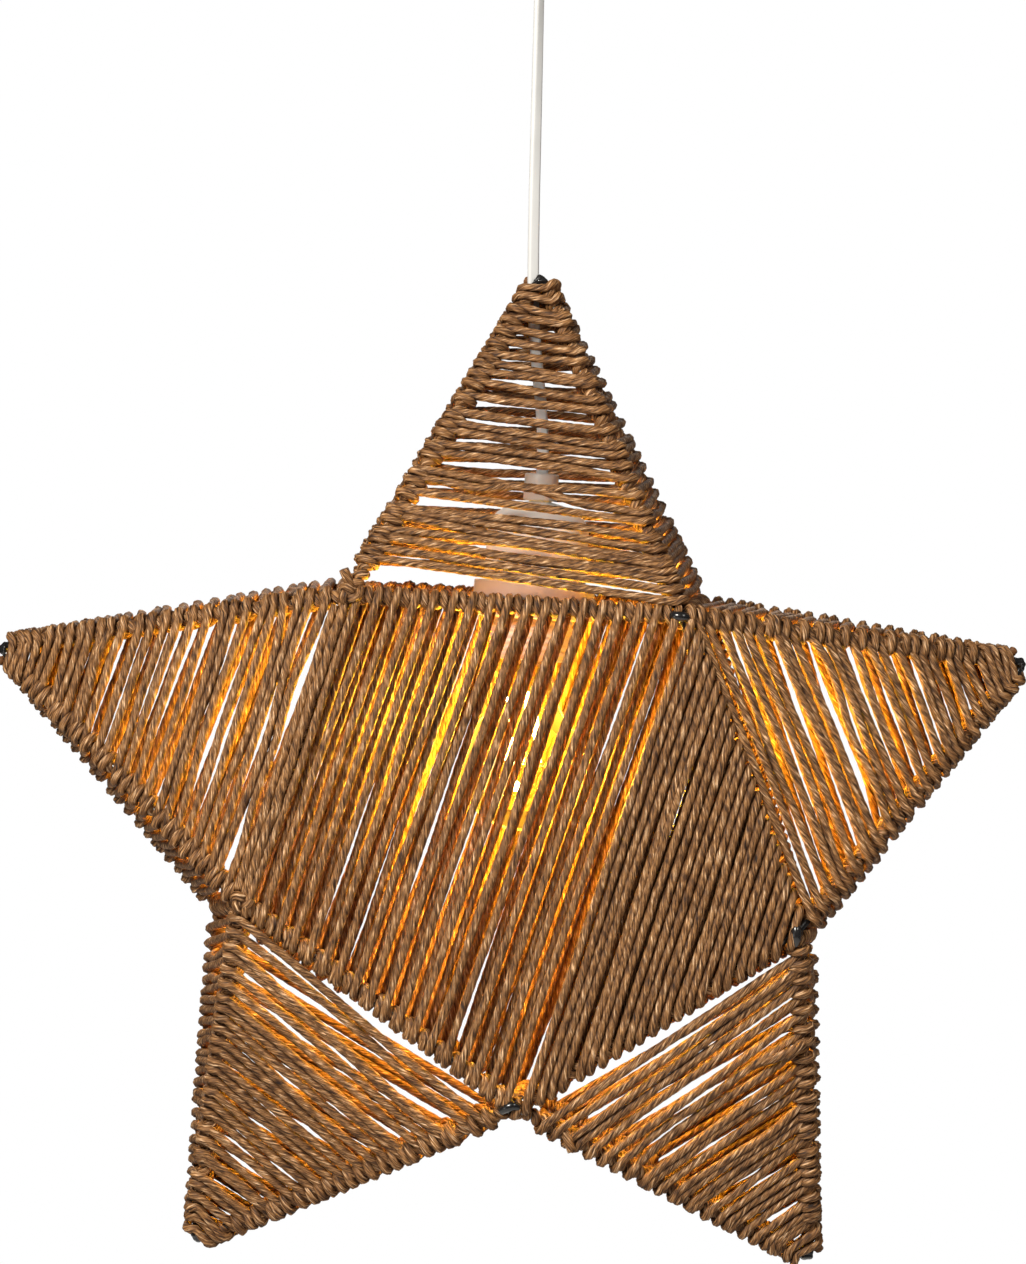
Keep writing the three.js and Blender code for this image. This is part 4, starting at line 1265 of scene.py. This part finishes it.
# %% Turned pieces
SPIN_STEPS = 96
MOST_EASE_SHARE = 0.3
DOUBLES_REACH = 0.01 * MM


def eased(outline, ease):
    """The outline with its corners taken round, as points in metres."""
    corners = [np.array((radius, 0.0, height)) * MM for radius, height in outline]
    if not ease:
        return corners
    sides = [np.linalg.norm(corners[i] - corners[i - 1]) for i in range(len(corners))]
    return rounded(corners, min(ease * MM, MOST_EASE_SHARE * min(sides)), True, steps=3)


def turned_piece(node, name, outline, place, ease=0, angle=35.0, thread=None):
    """A spun piece in place of a node, on the node's body and with its slot."""
    route = eased(outline, ease)
    bpy.ops.object.select_all(action="DESELECT")
    bpy.ops.mesh.primitive_circle_add(vertices=len(route), radius=MM, fill_type="NOTHING")
    piece = bpy.context.object
    piece.name = name
    for vertex, point in zip(piece.data.vertices, route):
        vertex.co = point
    bpy.ops.object.mode_set(mode="EDIT")
    bpy.ops.mesh.select_all(action="SELECT")
    bpy.ops.mesh.spin(steps=SPIN_STEPS, angle=2.0 * math.pi, center=(0, 0, 0), axis=(0, 0, 1))
    bpy.ops.mesh.select_all(action="SELECT")
    bpy.ops.mesh.remove_doubles(threshold=DOUBLES_REACH)
    bpy.ops.mesh.normals_make_consistent(inside=False)
    bpy.ops.object.mode_set(mode="OBJECT")
    if thread:
        cut_thread(piece, *np.array(thread) * MM)
    piece.matrix_world = place
    bpy.ops.object.transform_apply(location=True, rotation=True, scale=True)
    bpy.ops.object.shade_smooth_by_angle(angle=math.radians(angle))
    print(name, "has", len(piece.data.polygons), "faces")
    return finish_piece(piece, body_of(nodes[node])[0], slot_of[node], node)


# %% Threads and round walls
THREAD_WALL = 0.3 * MM
THREAD_STEPS = 8
THREAD_FULLNESS = 0.8
# How much of its way to the neck the bulb's ball stays round, how full the shoulder over it is,
# and how far below the cap the shoulder ends and the neck begins, in millimetres.
BALL_SHARE = 0.72
SHOULDER_FULLNESS = 0.9
SHOULDER_DROP = 6.0
NECK_DROP = 5.0


def cut_thread(piece, root, crest, low, high, pitch):
    """Moves the outer wall between two heights in and out, in a screw line."""
    for vertex in piece.data.vertices:
        radius = math.hypot(vertex.co.x, vertex.co.y)
        if radius < root - THREAD_WALL or not low <= vertex.co.z <= high:
            continue
        turned = math.atan2(vertex.co.y, vertex.co.x) / (2.0 * math.pi)
        wave = 0.5 + 0.5 * math.cos(2.0 * math.pi * (vertex.co.z / pitch - turned))
        fade = min((vertex.co.z - low) / pitch, (high - vertex.co.z) / pitch, 1.0)
        wanted = root + (crest - root) * wave**THREAD_FULLNESS * fade
        vertex.co.x *= wanted / radius
        vertex.co.y *= wanted / radius


def threaded_wall(root, _, low, high, pitch):
    """Points close together on a wall that gets a thread, from low to high."""
    count = round((high - low) / pitch * THREAD_STEPS)
    return [(root + 0.001 * (i % 2), low + (high - low) * i / count) for i in range(count + 1)]


def dome(radius, low, high, steps=12):
    """A quarter round from a wall at the low height to the crown at the high one."""
    quarter = [math.pi / 2.0 * i / steps for i in range(steps)]
    return [(radius * math.cos(turned), low + (high - low) * math.sin(turned)) for turned in quarter]


def ball(radius, middle, neck, low):
    """The outline of a bulb: a ball below and a neck that runs up to the low cap edge."""
    foot = math.acos(neck / radius)
    sweep = [-math.pi / 2.0 + (math.pi / 2.0 + foot * BALL_SHARE) * i / 30 for i in range(31)]
    points = [(radius * math.cos(turned), middle + radius * math.sin(turned)) for turned in sweep]
    last = points[-1]
    for i in range(1, 9):
        share = i / 9.0
        fullness = math.sin(share * math.pi / 2.0) ** SHOULDER_FULLNESS
        height = last[1] + (low - SHOULDER_DROP - last[1]) * share
        points.append((last[0] + (neck - last[0]) * fullness, height))
    return [*points, (neck, low - NECK_DROP), (neck, low)]


# %% The lampholder
# A thread is its root and crest radius, its lowest and highest place and its pitch.
SKIRT_THREAD = (18.7, 19.4, -27.0, 0.6, 3.05)
SKIRT = [(14.5, -27.5), (18.2, -27.5), *threaded_wall(*SKIRT_THREAD), (27.9, 1.05), (28.4, 1.6)]
SKIRT += [(28.4, 8.5), (27.9, 9.05), (14.5, 9.05)]
CAP_OUTSIDE = [(23.8, 9.35), *dome(23.8, 33.35, 47.35)[:-1], (5.5, 47.0)]
CAP_INSIDE = [(5.5, 45.2), *dome(21.8, 32.35, 45.35)[-2::-1], (21.8, 9.35)]
NIPPLE = [(3.05, 43.65), (5.2, 43.65), (5.2, 47.65), (8.0, 47.65), (8.0, 60.15), (3.05, 60.15)]
FITTER_RING = [(19.8, -0.75), (32.9, -0.75), (32.9, 0.75), (19.8, 0.75)]
CLAMP_RING = [(19.8, -8.05), (28.4, -8.05), (28.4, -1.05), (19.8, -1.05)]

turned_piece("holder_skirt", "holder_threaded_skirt", SKIRT, HOLDER_PLACE, thread=SKIRT_THREAD)
turned_piece("holder_cap", "holder_domed_cap", CAP_OUTSIDE + CAP_INSIDE, HOLDER_PLACE)
turned_piece("holder_nipple", "holder_cord_nipple", NIPPLE, HOLDER_PLACE, ease=1.2)
turned_piece("fitter_ring", "fitter_plate_ring", FITTER_RING, HOLDER_PLACE, ease=0.45)
turned_piece("shade_ring", "holder_clamp_ring", CLAMP_RING, HOLDER_PLACE, ease=1.0)

# %% The bulb
GLASS_WALL = 0.8
GLASS_CROWN = -100.0
CAP_THREAD = (12.5, 13.2, -27.0, -10.0, 3.4)
SCREW_CAP = [(11.6, -30.0), (12.5, -30.0), *threaded_wall(*CAP_THREAD), (12.5, -8.0), (11.6, -8.0)]
INSULATOR = [(0.0, -7.7), (12.2, -7.7), (5.0, -4.3), (0.0, -4.3)]
CONTACT_BUTTON = [(0.0, -4.0), (4.5, -4.0), (4.1, -3.75), (0.0, -3.7)]
GLASS_OUTSIDE = ball(30.0, -77.7, 11.3, -25.0)
GLASS_INSIDE = [
    (max(radius - GLASS_WALL, 0.0), height + GLASS_WALL * (height < GLASS_CROWN))
    for radius, height in GLASS_OUTSIDE[::-1]
]

turned_piece("bulb_cap", "bulb_screw_cap", SCREW_CAP, HOLDER_PLACE, thread=CAP_THREAD)
turned_piece("bulb_insulator", "bulb_glass_insulator", INSULATOR, HOLDER_PLACE)
turned_piece("bulb_contact", "bulb_contact_button", CONTACT_BUTTON, HOLDER_PLACE)
turned_piece("bulb_glass", "bulb_clear_glass", GLASS_OUTSIDE + GLASS_INSIDE, HOLDER_PLACE, angle=60.0)

# %% The ceiling rose
BASE = [(0.0, -5.0), (36.1, -5.0), (36.1, 0.0), (0.0, 0.0)]
COVER = [(7.3, -32.6), (20.0, -32.6), (24.6, -30.4), (42.0, -2.6), (42.0, -0.6), (39.8, -0.6)]
COVER += [(39.8, -2.6), (22.6, -29.0), (19.8, -30.4), (7.3, -30.4)]
GLAND = [(4.85, -40.9), (8.0, -40.9), (9.0, -39.9), (9.0, -32.9), (7.0, -32.9), (7.0, -27.6)]
GLAND += [(5.8, -27.6), (5.8, -33.5), (3.45, -34.0)]
COLLET = [(3.05, -33.0), (5.5, -33.0), (5.5, -27.6), (3.05, -27.6)]

turned_piece("rose_base", "rose_ceiling_base", BASE, UPRIGHT)
turned_piece("rose_cover", "rose_cover_bowl", COVER, UPRIGHT, ease=0.6)
turned_piece("cord_gland", "rose_cord_gland", GLAND, UPRIGHT, ease=0.3)
turned_piece("cord_collet", "rose_cord_collet", COLLET, UPRIGHT, ease=0.3)

# %% [markdown]
# ## The glow in the bulb
# In the picture the bulb is seen only as a few very bright points between the ropes. A halo
# could be painted over the finished picture, but it wouldn't turn with the lamp. So a thin
# glowing coil hangs in the glass beside the filaments, and small brighter balls sit on some of
# its bends. These balls are painted glints: they glow far more than the filament, to stand in
# for the bulb's glints.

# %% The glow in the bulb
COIL_RADIUS = 0.4 * MM
# Where the coil bends, in millimetres, and the radius of the painted glint there, 0 for none.
COIL_BENDS = [
    (-6.8, -12.0, -384.4, 0.9), (-4.6, -12.0, -402.8, 1.0), (-2.9, -12.0, -412.4, 1.4),
    (-2.1, -12.0, -424.8, 2.4), (2.0, -11.0, -427.5, 0.0), (6.0, -11.0, -423.0, 0.0),
    (6.1, -12.0, -416.8, 1.7), (6.2, -12.0, -400.7, 0.9), (4.8, -8.0, -384.0, 0.0),
]


# Each ball is a painted glint, a glowing ball that stands in for a glint of the bulb.
def bright_point(place, radius):
    bpy.ops.object.select_all(action="DESELECT")
    bpy.ops.mesh.primitive_uv_sphere_add(segments=24, ring_count=12, radius=radius, location=place)
    return bpy.context.object


coil_route = [np.array(bend[:3]) * MM for bend in COIL_BENDS]
wire_piece("glowing_coil", coil_route, False, radius=COIL_RADIUS, body="bulb", slot="filament")
points = [bright_point(Vector(bend[:3]) * MM, bend[3] * MM) for bend in COIL_BENDS if bend[3]]
join_balls("painted_glints", points, "bulb", "filament", painted_glint_glow)

# %% [markdown]
# ## The pieces that keep their solids
# The small parts inside the lampholder and the bulb have their right shapes in the solids.
# They could be modelled again with eased edges, but they show for a few millimetres between
# the ropes, if at all. So they keep their solids and only get their finishes.

# %% Finishes on the solids that stay
for node, slot in slot_of.items():
    nodes[node].data.materials.clear()
    nodes[node].data.materials.append(FINISHES[slot])
print(len(slot_of), "solids have their finishes")

# %% [markdown]
# ## Light, floor and background
# The photograph has a pure white background and soft light from the front, which leaves the
# grooves between the ropes dark. A bright world would light them up, so the world is white
# where the camera sees it and much dimmer as a light. Four round lamps light the star: a strong
# one at the upper left, a weaker one at the right, a faint one low at the left, and one behind.
# The bulb is lit, and its warm light fills the inside of the star, so the ropes glow yellow and
# orange between the brown ones in front. A ball of warm light in the bulb does this, and one in
# each arm stands for the light that the ropes throw on there. The floor is a pale sheet far
# below the star, and it glows softly, as the white floor of a studio does.

# %% The floor and the background
FLOOR_DROP = 1.7
FLOOR_REACH = 2.6
FLOOR_GLOW = 0.13
SKY_LIGHT = 0.09


def make_floor():
    bpy.ops.object.select_all(action="DESELECT")
    bpy.ops.mesh.primitive_circle_add(
        vertices=96, radius=FLOOR_REACH, fill_type="NGON", location=(0.0, 0.0, -FLOOR_DROP)
    )
    floor = bpy.context.object
    floor.name = "pale_floor"
    material, tree, shader = new_material("pale_floor", roughness=0.8)
    grain = add_noise(tree, object_place(tree), 3.0, detail=2.0)
    colour = add_ramp(tree, grain, [(0.3, (0.88, 0.88, 0.87)), (0.7, (0.92, 0.92, 0.91))])
    tree.links.new(colour, shader.inputs["Base Color"])
    shader.inputs["Emission Color"].default_value = (1.0, 0.98, 0.95, 1.0)
    shader.inputs["Emission Strength"].default_value = FLOOR_GLOW
    floor.data.materials.append(material)


def make_world():
    world = bpy.data.worlds.new("white_studio")
    world.use_nodes = True
    tree = world.node_tree
    sky = tree.nodes["Background"]
    sky.inputs["Color"].default_value = (*WHITE, 1.0)
    sky.inputs["Strength"].default_value = SKY_LIGHT
    backdrop = tree.nodes.new("ShaderNodeBackground")
    backdrop.inputs["Color"].default_value = (*WHITE, 1.0)
    seen = tree.nodes.new("ShaderNodeLightPath").outputs["Is Camera Ray"]
    add_shader_mix(tree, seen, sky.outputs["Background"], backdrop.outputs["Background"], "World Output")
    bpy.context.scene.world = world


make_floor()
make_world()
bpy.context.scene.view_settings.view_transform = "Standard"

# %% The lamps and the glow inside
LAMP_AIM = Vector((0.0, 0.0, -0.42))
# Each lamp's place and width in metres, its power in watts and its colour.
LAMPS = {
    "key_light": ((-0.7, -1.35, 0.45), 0.5, 35.0, (1.0, 0.96, 0.88)),
    "fill_light": ((1.3, -1.5, 0.8), 0.7, 12.5, (1.0, 0.96, 0.88)),
    "low_light": ((-1.7, -1.1, -0.9), 0.8, 3.5, (1.0, 0.965, 0.90)),
    "back_light": ((-0.1, 2.2, 0.1), 1.4, 12.0, (1.0, 0.97, 0.92)),
}
BULB_LIGHT_DROP = 4.0 * MM
BULB_LIGHT_RADIUS = 16.0 * MM
BULB_POWER = 4.1
BULB_COLOUR = (1.0, 0.66, 0.05)
GLOW_DROP = 0.440
GLOW_RADIUS = 14.0 * MM
GLOW_COLOUR = (1.0, 0.50, 0.02)
# Where each arm's glow hangs, to the side and above the glow drop, and its power in watts.
ARM_GLOWS = {
    "left": (-140.0, 45.0, 0.12),
    "right": (135.0, 40.0, 0.30),
    "lower_left": (-85.0, -110.0, 0.04),
    "lower_right": (85.0, -105.0, 0.01),
    "top": (0.0, 115.0, 0.08),
}


def add_light(kind, name, place, power, colour):
    bpy.ops.object.light_add(type=kind, location=place)
    light = bpy.context.object
    light.name = name
    light.data.energy = power
    light.data.color = colour
    return light


def add_glow(name, place, radius, power, colour):
    """A ball of light that the camera doesn't see itself."""
    light = add_light("POINT", name, place, power, colour)
    light.visible_camera = False
    light.data.shadow_soft_size = radius


for name, (place, width, power, colour) in LAMPS.items():
    lamp = add_light("AREA", name, place, power, colour)
    lamp.data.shape = "DISK"
    lamp.data.size = width
    lamp.rotation_euler = (LAMP_AIM - Vector(place)).to_track_quat("-Z", "Y").to_euler()
bulb_low, bulb_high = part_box("bulb_glass")
bulb_middle = (bulb_low + bulb_high) / 2.0 - Vector((0.0, 0.0, BULB_LIGHT_DROP))
add_glow("bulb_light", bulb_middle, BULB_LIGHT_RADIUS, BULB_POWER, BULB_COLOUR)
for arm, (side, up, power) in ARM_GLOWS.items():
    place = (side * MM, 0.0, up * MM - GLOW_DROP)
    add_glow(arm + "_arm_glow", place, GLOW_RADIUS, power, GLOW_COLOUR)
print(len(LAMPS), "lamps,", len(ARM_GLOWS), "glows in the arms and one in the bulb")

# %% [markdown]
# ## The end
# The dressed model stays in the box of the solids. Last, the scene is brought up to date.

# %% The end
bpy.context.view_layer.update()
